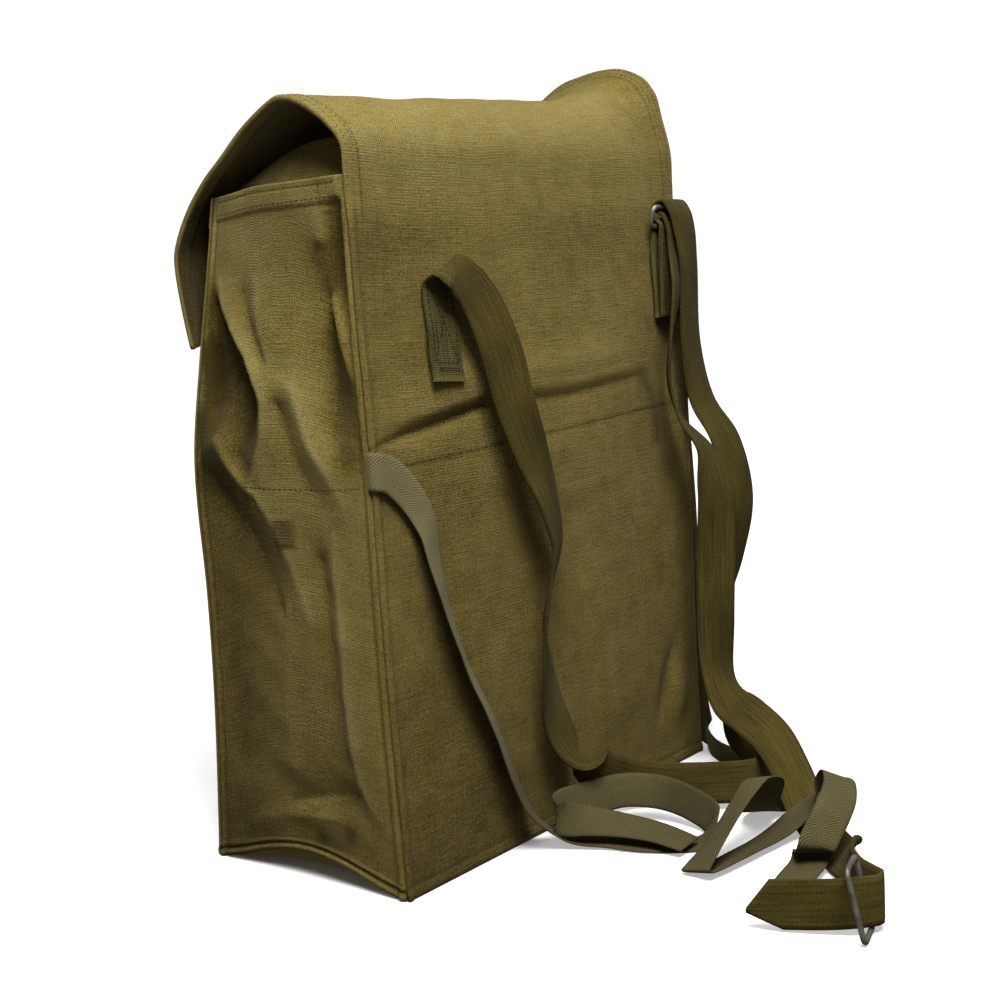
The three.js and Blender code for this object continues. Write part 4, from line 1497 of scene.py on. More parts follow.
    def inside(self, outer: Array) -> Array:
        """Inner face for an outer face, thicker at the flap's hems.

        Args:
            outer: points of the outer face.

        Returns:
            The points.
        """
        normal = grid_normals(outer)
        mouth = np.array([0.0, 0.0, GUSSET_TOP]) - outer
        mouth[..., 0] = 0
        mouth[..., 2] = np.where(outer[..., 2] < BACK_TOP, 0, mouth[..., 2])
        columns, rows = self.lines()
        side = self.from_side(columns)[None]
        on_flap = smoothstep(rows, BACK_TOP + 8, BACK_TOP + 30)[:, None]
        thick = CLOTH * (1 + 1.1 * (1 - smoothstep(side, self.hem - 1.5, self.hem)) * on_flap)
        return outer + normal * (np.sign(np.einsum("ijk,ijk->ij", normal, mouth)) * thick)[..., None]

    def marks(self, outer: Array, across: Array, along: Array) -> Marks:
        """Wear, stains and painted light and shade of the grid's points.

        Args:
            outer: points of the outer face.
            across: share of the panel's width.
            along: height on the back, then length over the flap.

        Returns:
            The marks by name.
        """
        x, z = outer[..., 0], outer[..., 2]
        on_back = 1 - smoothstep(along, BACK_TOP - 20, BACK_TOP + 10)
        # Painted shade low on the back, strongest on its near side
        low = (1 - smoothstep(z, 10, 180)) * lerp(0.32, 0.04, smoothstep(across, 0.05, 0.45))
        # The back a little darker, with painted shade towards its top, and the flap a little lighter
        wear_and_painted_light = (-0.14 - low - 0.1 * smoothstep(z, 235, 330)) * on_back + 0.12 * (1 - on_back)
        from_near = across * self.back_width
        # Seam ridges worn lighter, and painted shade in the grooves beside them
        wear_and_painted_light += 0.06 * bump(from_near - 1.6, 2.2) - 0.14 * bump(from_near - 4.4, 1.3)
        # Painted shade on the upper near part of the back
        wear_and_painted_light -= 0.12 * (1 - smoothstep(across, 0.1, 0.3)) * smoothstep(z, 220, 260) * on_back
        # Painted shade on the flap's far side
        wear_and_painted_light -= 0.2 * smoothstep(across, 0.8, 0.95) * (1 - on_back)
        # Painted shade in the grooves inside the flap's hems
        wear_and_painted_light -= 0.5 * side_bumps(across, self.flap_width, self.hem + 0.4, 1.3, 0.6) * (1 - on_back)
        # Painted shade along the crease and the stitch row, and a painted highlight on the fold above the
        # crease
        for strength, width, line in self.painted_light_lines:
            wear_and_painted_light += strength * line_glow(line, width, x, z) * on_back
        # Painted shadow beside the strap's hanging strand
        stain_and_painted_shade = 0.5 * line_glow(((-89, 231), (-96, 222), (-100, 196)), 5, x, z) * on_back
        # Darker along the bottom edge
        stain_and_painted_shade += 0.25 * (1 - smoothstep(z, 0, 14)) * on_back
        for spot_x, spot_z in self.spots:
            stain_and_painted_shade += 0.7 * np.exp(-(((x - spot_x) / 1.6) ** 2 + ((z - spot_z) / 1.1) ** 2)) * on_back
        step = (along - BACK_TOP) / self.step_length
        # Inner face: lighter with painted light under the top of the flap and darker with painted shade
        # inside its brim, with more painted shade there in place of stains
        inner = 0.4 - 0.9 * smoothstep(step, 7.0, 9.5)
        shade = 0.65 * smoothstep(step, 8.5, 10.5)
        return {"wear_and_painted_light": wear_and_painted_light, "stain_and_painted_shade": np.clip(stain_and_painted_shade, 0, 0.9), "inner": inner, "inner_painted_shade": shade}

    def sew(self) -> None:
        """Adds the stitches of the seams, the hems and the row across the back."""
        heights = np.linspace(8, 326, 160)
        for share in (3.6 / self.back_width, 1 - 4.0 / self.back_width):
            self.stitch_line(share, heights, SEAM_PITCH)
        across = np.linspace(0.075, 0.95, 120)
        x = lerp(132, -138, across)
        self.stitch_line(across, lerp(206.4, 214.2, (112 - x) / 221), HEM_PITCH)
        self.stitch_line(np.linspace(0.03, 0.97, 120), 4.4, SEAM_PITCH)
        steps = BACK_TOP + np.linspace(0.8, self.flap_steps - 0.3, 130) * self.step_length
        for inset in (2.4, self.hem - 2.2):
            for share in (inset / self.flap_width, 1 - inset / self.flap_width):
                self.stitch_line(share, steps, FLAP_PITCH)
        end = BACK_TOP + self.flap_steps * self.step_length
        for inset in (2.6, self.front_hem - 2.4):
            self.stitch_line(np.linspace(0.02, 0.98, 130), end - inset, FLAP_PITCH)


@dataclass
class FrontPanel(Panel):
    """Front wall under the flap."""

    name: str = "front_panel"
    inwards: Triple = (0.0, 1.0, 0.0)
    width: float = 268.0
    bulge: float = 3.0

    def lines(self) -> tuple[Array, Array]:
        """Grid values across and along."""
        columns = columns_across(self.width, 3.5, 10, 1.1)
        return columns, spread(0, FRONT_TOP, 3.6, ((0, 8, 1.1), (FRONT_TOP - 16, FRONT_TOP, 1.2)))

    def surface(self, across: Array, along: Array) -> Array:
        """Points of the outer face.

        Args:
            across: share of the panel's width.
            along: height.

        Returns:
            The points.
        """
        z = along
        x, y = between("nearFront", "farFront", z, across)
        fullness = smoothstep(z, 0, 60) * (1 - smoothstep(z, 200, 300))
        y -= self.bulge * swell(across) * fullness
        ridge = 0.9 * side_bumps(across, self.width, 2.2, 4)
        groove = -0.35 * side_bumps(across, self.width, 5.6, 1.6)
        hem = 0.7 * smoothstep(z, FRONT_TOP - 15, FRONT_TOP - 13.5) + 0.7 * bump(z - 2.5, 3.4)
        uneven = 0.6 * ripple(x, z, 52, 12) * edge_fade(across, 0.06) * smoothstep(z, 2, 30)
        return np.stack([x, y - (ridge + groove + hem + uneven), z], -1)

    def marks(self, outer: Array, across: Array, along: Array) -> Marks:
        """Wear of the seams' ridges, and painted shade in the grooves beside them."""
        from_near = across * self.width
        return {"wear_and_painted_light": 0.2 * bump(from_near - 2.2, 3.0) - 0.25 * bump(from_near - 5.6, 1.5)}

    def sew(self) -> None:
        """Adds the stitches of the seams and the hem."""
        heights = np.linspace(8, 330, 160)
        for share in (3.6 / self.width, 1 - 3.6 / self.width):
            self.stitch_line(share, heights, SEAM_PITCH)
        for z in (FRONT_TOP - 2.6, FRONT_TOP - 12):
            self.stitch_line(np.linspace(0.02, 0.98, 120), z, HEM_PITCH)


@dataclass
class NearGusset(Panel):
    """The side wall that the photograph shows, with its dents and folds.

    The second coordinate is a share of the wall's height.
    """

    name: str = "gusset_near"
    cut: Pair = (128.0, 340.0)
    width: float = 126.0
    bulge: float = 2.0
    arch_fade: float = 60.0
    hem: float = 10.4
    # middle of the mended spot, half its size, and its rows of stitches
    mend: Pair = (10.2, 176.5)
    mend_half: Pair = (6.4, 7.0)
    mend_rows: tuple[float, ...] = (-5.4, -3.8, -2.2, -0.6, 1.0, 2.6, 4.2, 5.8)
    # strength and line of painted shade along hollows of the cloth, and y, z, size and depth of stains
    painted_shade_lines: tuple[tuple[float, Line], ...] = (
        (0.4, ((50, 318), (47, 300), (45, 285), (46, 270))),
        (0.5, ((47, 262), (50, 240), (51, 224), (49, 212))),
        (0.8, ((-46, 228), (-42, 214), (-38, 204))),
    )
    spots: Line = ((11.7, 22.8, 4.5, 0.55), (32.2, 28.4, 5.0, 0.6), (22, 25, 11, 0.3))

    def __post_init__(self) -> None:
        """Stretches the cloth over its creases."""
        self.creases = CreasedCloth(GUSSET_CREASES)

    def lines(self) -> tuple[Array, Array]:
        """Grid values across and along."""
        wide, high = self.cut
        rows = spread(0, 1, 1.35 / high, ((0, 9 / high, 0.8 / high), (1 - 16 / high, 1, 0.9 / high)))
        return columns_across(wide, 1.3, 10, 0.75), rows

    def height(self, across: Array, along: Array) -> Array:
        """Height before the arch, from a share of the wall's height."""
        return along * lerp(FRONT_TOP, GUSSET_TOP, smoothstep(across, 0, 0.4))

    def surface(self, across: Array, along: Array) -> Array:
        """Points of the outer face.

        Args:
            across: share of the panel's width.
            along: share of the wall's height.

        Returns:
            The points.
        """
        z = self.height(across, along)
        x, y = between("nearFront", "nearBack", z, across, SEAM_INSET)
        x += self.bulge * swell(across) * smoothstep(z, 0, 40)
        x += self.creases.height(y, z) * edge_fade(across, 0.06)
        x += 0.4 * ripple(y, z, 34, 21) * edge_fade(across, 0.07) * smoothstep(z, 4, 20)
        x += self.relief(across, along, y, z)
        arched = z + arch(across) * np.maximum(0, 1 - z / self.arch_fade)
        return np.stack([x, y, arched], -1)

    def from_mend(self, y: Array, z: Array) -> Array:
        """Distance from the middle of the mended spot, 1 at its edge."""
        (middle_y, middle_z), (half_y, half_z) = self.mend, self.mend_half
        return np.maximum(np.abs(y - middle_y) / half_y, np.abs(z - middle_z) / half_z)

    def relief(self, across: Array, along: Array, y: Array, z: Array) -> Array:
        """Raised seams, the hem and the mended spot.

        Args:
            across: share of the panel's width.
            along: share of the wall's height.
            y: place across the wall.
            z: height.

        Returns:
            The relief.
        """
        below = 1 - smoothstep(z, 322, 334)
        ridge = side_bumps(across, self.width, 1.6, 2.7)
        groove = -0.4 * side_bumps(across, self.width, 4.4, 1.5, 0.375)
        low = 1.3 * bump(z - 1.8, 2.4) - 0.5 * bump(z - 4.4, 1.3) + 0.6 * bump(z - 6.4, 1.7)
        from_top = (1 - along) * GUSSET_TOP
        hem = 0.8 * (1 - smoothstep(from_top, self.hem, self.hem + 1.2)) - 0.3 * bump(from_top - 2.6, 1.2)
        tab = 0.7 * smoothstep(y, 42, 43.2) * (1 - smoothstep(from_top, 15, 16.2))
        mend = 0.6 * (1 - smoothstep(self.from_mend(y, z), 0.8, 1.1))
        return (ridge + groove) * below + low + (hem + tab) * edge_fade(across, 0.05) + mend

    def marks(self, outer: Array, across: Array, along: Array) -> Marks:
        """Wear, stains and painted light and shade of the grid's points.

        Args:
            outer: points of the outer face.
            across: share of the panel's width.
            along: share of the wall's height.

        Returns:
            The marks by name.
        """
        y, z = outer[..., 1], outer[..., 2]
        # Painted shade in the hollows between creases and painted highlight on their ridges
        wear_and_painted_light = np.clip(0.1 * self.creases.proud(y, z), -0.5, 0.2)
        # Painted shade on the front side of the long and the slanted ridge
        wear_and_painted_light -= 0.45 * self.beside(LONG_RIDGE, y, z, 64)
        wear_and_painted_light -= 0.12 * self.beside(SLANTED_RIDGE[1:], y, z, 50)
        # Painted shade along hollows of the cloth
        for strength, line in self.painted_shade_lines:
            wear_and_painted_light -= strength * line_glow(line, 9, y, z)
        # Painted highlight along the crests of the ridges
        for crest in (LONG_RIDGE, SLANTED_RIDGE, MIDDLE_RIDGE, LOWER_RIDGE):
            wear_and_painted_light += 0.2 * line_glow([point[:2] for point in crest], 2.4, y, z)
        # Seam ridges worn lighter, and painted shade in the grooves beside them
        wear_and_painted_light += 0.08 * side_bumps(across, self.width, 1.6, 2.2)
        wear_and_painted_light -= 0.22 * side_bumps(across, self.width, 4.4, 1.3, 0.08 / 0.22)
        # Painted shade along the lowest stitch row
        wear_and_painted_light -= 0.35 * bump(along * self.cut[1] - 4.4, 1.2)
        # Painted light towards the top and painted shade towards the base
        wear_and_painted_light += 0.12 * smoothstep(z, 285, 330) - 0.12 * (1 - smoothstep(z, 20, 60))
        # Painted shade over the lower front part of the wall
        wear_and_painted_light -= 0.32 * (1 - smoothstep(y, -44, -2)) * (1 - smoothstep(z, 185, 225))
        stain_and_painted_shade = np.zeros_like(y)
        for spot_y, spot_z, size, depth in self.spots:
            stain_and_painted_shade += depth * np.exp(-(((y - spot_y) ** 2 + (z - spot_z) ** 2) / size**2))
        stain_and_painted_shade += 0.45 * (1 - smoothstep(self.from_mend(y, z), 0.8, 1.25))
        # Darker along the bottom edge
        stain_and_painted_shade += 0.175 * (1 - smoothstep(z, 2, 12))
        return {"wear_and_painted_light": wear_and_painted_light, "stain_and_painted_shade": np.clip(stain_and_painted_shade, 0, 0.9)}

    @staticmethod
    def beside(line: Line, y: Array, z: Array, reach: float) -> Array:
        """A soft mark of painted shade on the front side of a crease.

        Args:
            line: y, z and height of the crease's points.
            y: first panel coordinate.
            z: second panel coordinate.
            reach: how far from the crease the mark goes.

        Returns:
            The mark's strength.
        """
        rows = np.array(sorted(line, key=lambda point: point[1]))
        left = np.interp(z, rows[:, 1], rows[:, 0]) - y
        low, high = rows[0, 1], rows[-1, 1]
        ends = smoothstep(z, low - 6, low + 14) * (1 - smoothstep(z, high - 14, high + 6))
        return smoothstep(left, 0, 5) * (1 - smoothstep(left, 0.5 * reach, reach)) * ends

    def sew(self) -> None:
        """Adds the stitches of the seams, the hem, the row across and the mend."""
        over = np.linspace(0.03, 0.97, 90)
        high = self.cut[1]
        self.stitch_line(over, 4.2 / high, SEAM_PITCH)
        for inset in (2.2, 8.6):
            self.stitch_line(over, 1 - inset / high, HEM_PITCH)
        self.stitch_line(over, lerp(201.4, 198.2, over) / GUSSET_TOP - 0.006 * swell(over), HEM_PITCH)
        mended = (self.mend[0] + 55) / 116 + np.linspace(-5.6, 5.6, 12) / 117
        for offset in self.mend_rows:
            self.stitch_line(mended, (self.mend[1] + offset) / GUSSET_TOP, 1.9)


@dataclass
class FarGusset(Panel):
    """The other side wall, finished plainly."""

    name: str = "gusset_far"
    inwards: Triple = (1.0, 0.0, 0.0)
    cut_width: float = 128.0
    width: float = 126.0

    def lines(self) -> tuple[Array, Array]:
        """Grid values across and along."""
        columns = columns_across(self.cut_width, 3.0, 10, 1.0)
        return columns, spread(0, GUSSET_TOP, 3.2, ((0, 8, 1.1), (GUSSET_TOP - 16, GUSSET_TOP, 1.2)))

    def surface(self, across: Array, along: Array) -> Array:
        """Points of the outer face.

        Args:
            across: share of the panel's width.
            along: height.

        Returns:
            The points.
        """
        z = along
        x, y = between("farFront", "farBack", z, across, SEAM_INSET)
        folds = fold_height(FAR_GUSSET_FOLDS, y, z) * edge_fade(across, 0.1) * smoothstep(z, 0, 30)
        ridge = 0.9 * side_bumps(across, self.width, 2, 3.6)
        groove = -0.35 * side_bumps(across, self.width, 5.4, 1.6)
        hem = 0.7 * smoothstep(z, GUSSET_TOP - 15, GUSSET_TOP - 13.5) + 0.7 * bump(z - 2.5, 3.4)
        uneven = 0.5 * ripple(y, z, 40, 31) * edge_fade(across, 0.06) * smoothstep(z, 4, 30)
        return np.stack([x - folds - ridge - groove - hem - uneven, y, z], -1)

    def sew(self) -> None:
        """Adds the stitches of the seams and the hem."""
        heights = np.linspace(8, 330, 160)
        for share in (3.4 / self.width, 1 - 3.4 / self.width):
            self.stitch_line(share, heights, SEAM_PITCH)
        for z in (GUSSET_TOP - 2.6, GUSSET_TOP - 12.2):
            self.stitch_line(np.linspace(0.03, 0.97, 90), z, HEM_PITCH)


@dataclass
class BottomPanel(Panel):
    """Base cloth, turned up under the arched edge of the near gusset."""

    name: str = "bottom_panel"
    inwards: Triple = (0.0, 0.0, 1.0)
    turn_up: float = 18.0
    length: float = 264.0

    def lines(self) -> tuple[Array, Array]:
        """Grid values across and along."""
        return spread(0, 1, 3.2 / 128), spread(0, self.length, 4.0, ((0, 20, 1.4),))

    def surface(self, across: Array, along: Array) -> Array:
        """Points of the outer face, from the near end.

        Args:
            across: share of the panel's width.
            along: distance from the near end.

        Returns:
            The points.
        """
        zero = np.zeros_like(across)
        near_x, y = between("nearFront", "nearBack", zero, across, SEAM_INSET)
        near_x -= SEAM_INSET
        x = lerp(near_x, seam("farBackX", zero) + SEAM_INSET, along / self.length)
        turn = np.maximum(0, 1 - (near_x - x) / self.turn_up) ** 2
        uneven = 0.3 * (1 + ripple(x, y, 60, 44)) * edge_fade(across, 0.1)
        return np.stack([x, y, CLOTH_FLOOR + arch(across) * turn + uneven * (1 - turn)], -1)


@dataclass
class ThroatFlap(Panel):
    """Loose side cloth that shows in the mouth above the near gusset."""

    gusset: NearGusset | None = None
    name: str = "throat_flap"
    base: float = 326.0
    front_y: float = -26.0
    back_y: float = 50.0
    inset: float = 2.3

    def lines(self) -> tuple[Array, Array]:
        """Grid values across and along."""
        return spread(0, 1, 1.8 / 76), spread(0, 1, 1.6 / 40)

    def surface(self, across: Array, along: Array) -> Array:
        """Points of the outer face.

        Args:
            across: share of the panel's width.
            along: share of the cloth's height.

        Returns:
            The points.
        """
        y = lerp(self.front_y, self.back_y, across)
        base = np.full_like(y, self.base)
        front = seam("nearFrontY", base) + SEAM_INSET
        back = seam("nearBackY", base) - SEAM_INSET
        share = (y - front) / (back - front)
        base_x = between("nearFront", "nearBack", base, share)[0] + self.gusset.bulge * swell(share)
        base_x += self.gusset.creases.height(y, base) * edge_fade(share, 0.06)
        lean = smooth(THROAT_EDGE, "y", "lean", y) * np.clip(along, 0, 1) ** 1.2
        z = lerp(self.base, smooth(THROAT_EDGE, "y", "z", y), along)
        uneven = 0.7 * ripple(y, z, 26, 51) * np.clip(along, 0, 1)
        hem = 0.6 * smoothstep(along, 0.8, 0.83)
        return np.stack([base_x - self.inset - lean + uneven * 0.5 + hem, y, z], -1)

    def marks(self, outer: Array, across: Array, along: Array) -> Marks:
        """Painted shade on cloth that is always under the flap."""
        return {"wear_and_painted_light": np.full(across.shape, -0.2)}

    def sew(self) -> None:
        """Adds the stitches of the hem."""
        self.stitch_line(np.linspace(0.03, 0.97, 60), 0.86, HEM_PITCH)


# Ribbons


class RibbonPath:
    """Centre line of a ribbon and the directions of its width."""

    def __init__(self, route: Table, width: float, thick: float, back: BackFlap, steps: int) -> None:
        """Draws the path.

        Args:
            route: rows of the route.
            width: width of the ribbon.
            thick: thickness of the ribbon.
            back: panel that the ribbon may lie on.
            steps: sections between two rows.
        """
        self.width, self.thick, self.back = width, thick, back
        rows = np.stack([route["x"], route["y"], route["z"]], -1)
        widths = direction(route["azimuth"], route["elevation"])
        self.centre = self.curve(rows, steps)
        self.across = self.even(widths, steps)
        self.square()
        self.lie()
        self.square()
        self.normal = np.cross(self.tangent, self.across)
        self.along = lengths_along(self.centre)

    def square(self) -> None:
        """Finds the line's directions and turns the widths square to them."""
        self.tangent = unit(np.gradient(self.centre, axis=0))
        along = np.einsum("ij,ij->i", self.across, self.tangent)[:, None]
        self.across = unit(self.across - self.tangent * along)

    @staticmethod
    def curve(rows: Array, steps: int) -> Array:
        """A smooth curve through points, with knots spaced by the root of their distance.

        Args:
            rows: the points.
            steps: points on each stretch.

        Returns:
            Points of the curve.
        """
        ends = np.concatenate([[2 * rows[0] - rows[1]], rows, [2 * rows[-1] - rows[-2]]])
        found = []
        for k in range(len(rows) - 1):
            p0, p1, p2, p3 = ends[k : k + 4]
            d0, d1, d2 = (max(np.linalg.norm(gap), 1e-6) ** 0.5 for gap in (p1 - p0, p2 - p1, p3 - p2))
            t1 = ((p1 - p0) / d0 - (p2 - p0) / (d0 + d1) + (p2 - p1) / d1) * d1
            t2 = ((p2 - p1) / d1 - (p3 - p1) / (d1 + d2) + (p3 - p2) / d2) * d1
            t = np.linspace(0, 1, steps, endpoint=False)[:, None]
            cubic = 2 * (p1 - p2) + t1 + t2
            square = 3 * (p2 - p1) - 2 * t1 - t2
            found.append(p1 + t * (t1 + t * (square + t * cubic)))
        return np.concatenate([*found, rows[-1:]])

    @staticmethod
    def even(widths: Array, steps: int) -> Array:
        """Width directions between the rows, eased from row to row."""
        at = np.arange((len(widths) - 1) * steps + 1) / steps
        keys = {"row": np.arange(len(widths), dtype=float)}
        return np.stack([smooth({**keys, "w": widths[:, k]}, "row", "w", at) for k in range(3)], -1)

    def lie(self) -> None:
        """Moves sections off the floor and off the back panel."""
        centre, across = self.centre, self.across
        flat = np.hypot(across[:, 0], across[:, 1])
        lowest = GAP + self.width / 2 * np.abs(across[:, 2]) + self.thick / 2 * flat
        centre[:, 2] = np.maximum(centre[:, 2], lowest)
        push = np.zeros(len(centre))
        for side in (-1, -0.5, 0, 0.5, 1):
            edge = centre + across * side * self.width / 2
            near_x = seam("nearBackX", edge[:, 2])
            share = (near_x - edge[:, 0]) / (near_x - seam("farBackX", edge[:, 2]))
            on_back = (share > 0) & (share < 1) & (edge[:, 2] < BACK_TOP)
            wall = self.back.back(np.clip(share, 0, 1), edge[:, 2])[:, 1] + RIBBON_LIFT + self.thick / 2
            push = np.maximum(push, np.where(on_back, wall - edge[:, 1], 0))
        eased = np.convolve(np.pad(push, 2, mode="edge"), np.ones(5) / 5, mode="valid")
        centre[:, 1] += np.maximum(push, eased)


@dataclass
class Ribbon:
    """A flat ribbon with rounded edges along a route.

    Attributes:
        name: name of the piece and of the node that it stands for.
        route: rows of the route.
        width: width of the ribbon.
        thick: thickness of the ribbon.
        slot: slot of the record.
        steps: sections between two rows.
        cut: for a pointed end, the slant, the point and where it is across the width.
        sewn: length at the start that is sewn down.
        cup: how much the ribbon's edges curl.
        tone_near_floor: how much darker the ribbon is near the floor; a negative value makes it lighter
            there with painted light.
        TOP: points on each face of the section.
        EDGE: points on each edge of the section.
    """

    TOP: ClassVar[int] = 11
    EDGE: ClassVar[int] = 3

    name: str
    route: Table
    width: float
    thick: float
    slot: Slot
    steps: int = 8
    cut: Triple | None = None
    sewn: float = 0.0
    cup: float = 0.25
    tone_near_floor: float = 0.0

    def profile(self) -> Array:
        """Section of the ribbon: share across and height, going round.

        Returns:
            The points of the section.
        """
        side = np.linspace(-1, 1, self.TOP + 2)[1:-1] * (1 - self.thick / self.width)
        top = np.stack([side, 0.5 - 0.08 * np.abs(side) ** 3], -1)
        edge = 1 - self.thick / self.width * 0.35
        right = np.array([[edge, 0.36], [1, 0.0], [edge, -0.36]])
        return np.concatenate([top, right, top[::-1] * [1, -1], right[::-1] * [-1, 1]])

    def build(self, back: BackFlap, material: Material) -> tuple[Piece, RibbonPath]:
        """Makes the ribbon.

        Args:
            back: panel that the ribbon may lie on.
            material: material of the ribbon.

        Returns:
            The ribbon and its path.
        """
        path = RibbonPath(self.route, self.width, self.thick, back, self.steps)
        profile = self.profile()
        count, sides = len(path.centre), len(profile)
        wave = 0.35 * np.sin(path.along / 23.0 + 1.0) + 0.25 * np.sin(path.along / 9.5)
        curl = self.cup * wave * smoothstep(path.along, 0, 40)
        lift = curl[:, None] * profile[:, 0][None] ** 2
        over = profile[:, 0] * self.width / 2
        points = (
            path.centre[:, None]
            + path.across[:, None] * over[None, :, None]
            + path.normal[:, None] * (profile[:, 1] * self.thick + lift)[..., None]
        )
        ahead = np.zeros((count, sides))
        if self.cut:
            slant, point, point_at = self.cut
            reach = np.interp(profile[:, 0], [-1, point_at, 1], [-slant / 2, point, slant / 2])
            from_end = path.along[-1] - path.along
            ahead = (1 - smoothstep(from_end, 0, 26))[:, None] * reach[None]
            points += path.tangent[:, None] * ahead[..., None]
        points[..., 2] = np.maximum(points[..., 2], RIBBON_FLOOR)
        uv = np.stack(np.broadcast_arrays(over, path.along[:, None] + ahead), -1)
        index = np.arange(count * sides).reshape(count, sides)
        after = np.roll(index, -1, axis=1)
        quads = np.stack([index[:-1], after[:-1], after[1:], index[1:]], -1)
        faces = quads.reshape(-1, 4).tolist() + self.caps(count, sides)
        sewn = 1 - smoothstep(path.along, self.sewn - 4, self.sewn + 1) if self.sewn else np.zeros(count)
        # One mark holds the sewn patches; the other darkens the ribbon near the floor, and a negative
        # factor lightens it there with painted light
        low = 1 - smoothstep(points[..., 2], 5, 90)
        marks = {"stain_and_painted_shade": np.repeat(sewn, sides), "wear_and_painted_light": -self.tone_near_floor * low.reshape(-1)}
        made = make_object(self.name, points.reshape(-1, 3), faces, uv.reshape(-1, 2), marks, material)
        face_outwards(made)
        settle_piece(made, self.slot, self.name)
        return made, path

    @classmethod
    def caps(cls, count: int, sides: int) -> Faces:
        """Faces that close the two ends, in strips across the ribbon.

        Args:
            count: number of sections.
            sides: points of a section.

        Returns:
            The faces.
        """
        faces = []
        for start in (0, (count - 1) * sides):
            ring = list(range(start, start + sides))
            upper, right = ring[: cls.TOP], ring[cls.TOP : cls.TOP + cls.EDGE]
            lower, left = ring[cls.TOP + cls.EDGE : -cls.EDGE][::-1], ring[-cls.EDGE :]
            for k in range(cls.TOP - 1):
                faces.append([upper[k], upper[k + 1], lower[k + 1], lower[k]])
            faces.append([upper[-1], *right, lower[-1]])
            faces.append([lower[0], *left, upper[0]])
        return faces


# Wire


@dataclass
class WireLoop:
    """A closed wire in the shape of a rounded rectangle.

    Attributes:
        name: name of the piece and of the node that it stands for.
        centre: middle of the loop.
        wide: direction of its width.
        high: direction of its height.
        size: width and height.
        wire: thickness of the wire.
        corner: radius of its corners.
        sides: points round the wire.
        joint: place of the wire's ends, as a share of its length.
    """

    name: str
    centre: Triple
    wide: Array
    high: Array
    size: Pair
    wire: float
    corner: float = 3.0
    sides: int = 14
    joint: float = 0.35

    def outline(self) -> Array:
        """Points of the wire's line on the two axes, closely spaced.

        Returns:
            The points.
        """
        a, b = self.size[0] / 2 - self.corner, self.size[1] / 2 - self.corner
        points = []
        for quarter, (x, y) in enumerate(((a, b), (-a, b), (-a, -b), (a, -b))):
            angles = np.linspace(quarter, quarter + 1, 9) * np.pi / 2
            points.append((x, y) + self.corner * np.stack([np.cos(angles), np.sin(angles)], -1))
        line = np.concatenate([*points, points[0][:1]])
        lengths = lengths_along(line)
        return read_along(np.linspace(0, lengths[-1], 121)[:-1], lengths, line)

    def build(self, material: Material) -> Piece:
        """Makes the loop, slightly thinner where the wire's ends meet.

        Args:
            material: material of the wire.

        Returns:
            The loop.
        """
        flat = self.outline()
        wide, high = unit(self.wide), unit(self.high)
        out = np.cross(wide, high)
        line = np.array(self.centre) + flat[:, :1] * wide + flat[:, 1:] * high
        tangent = unit(np.roll(line, -1, axis=0) - np.roll(line, 1, axis=0))
        side = np.cross(tangent, out)
        turn = np.arange(self.sides) / self.sides * 2 * np.pi
        at = np.arange(len(line)) / len(line)
        radius = self.wire / 2 * (1 + 0.03 * np.sin(at * 40) - 0.12 * bump(at - self.joint, 0.008))
        points = line[:, None] + radius[:, None, None] * (
            np.cos(turn)[None, :, None] * side[:, None] + np.sin(turn)[None, :, None] * out
        )
        index = np.arange(len(line) * self.sides).reshape(len(line), self.sides)
        right, up = np.roll(index, -1, axis=1), np.roll(index, -1, axis=0)
        faces = np.stack([index, right, np.roll(up, -1, axis=1), up], -1).reshape(-1, 4).tolist()
        flat_points = points.reshape(-1, 3)
        made = make_object(self.name, flat_points, faces, flat_points[:, :2], {}, material)
        face_outwards(made)
        return settle_piece(made, Slot.WIRE, self.name)


# The bag


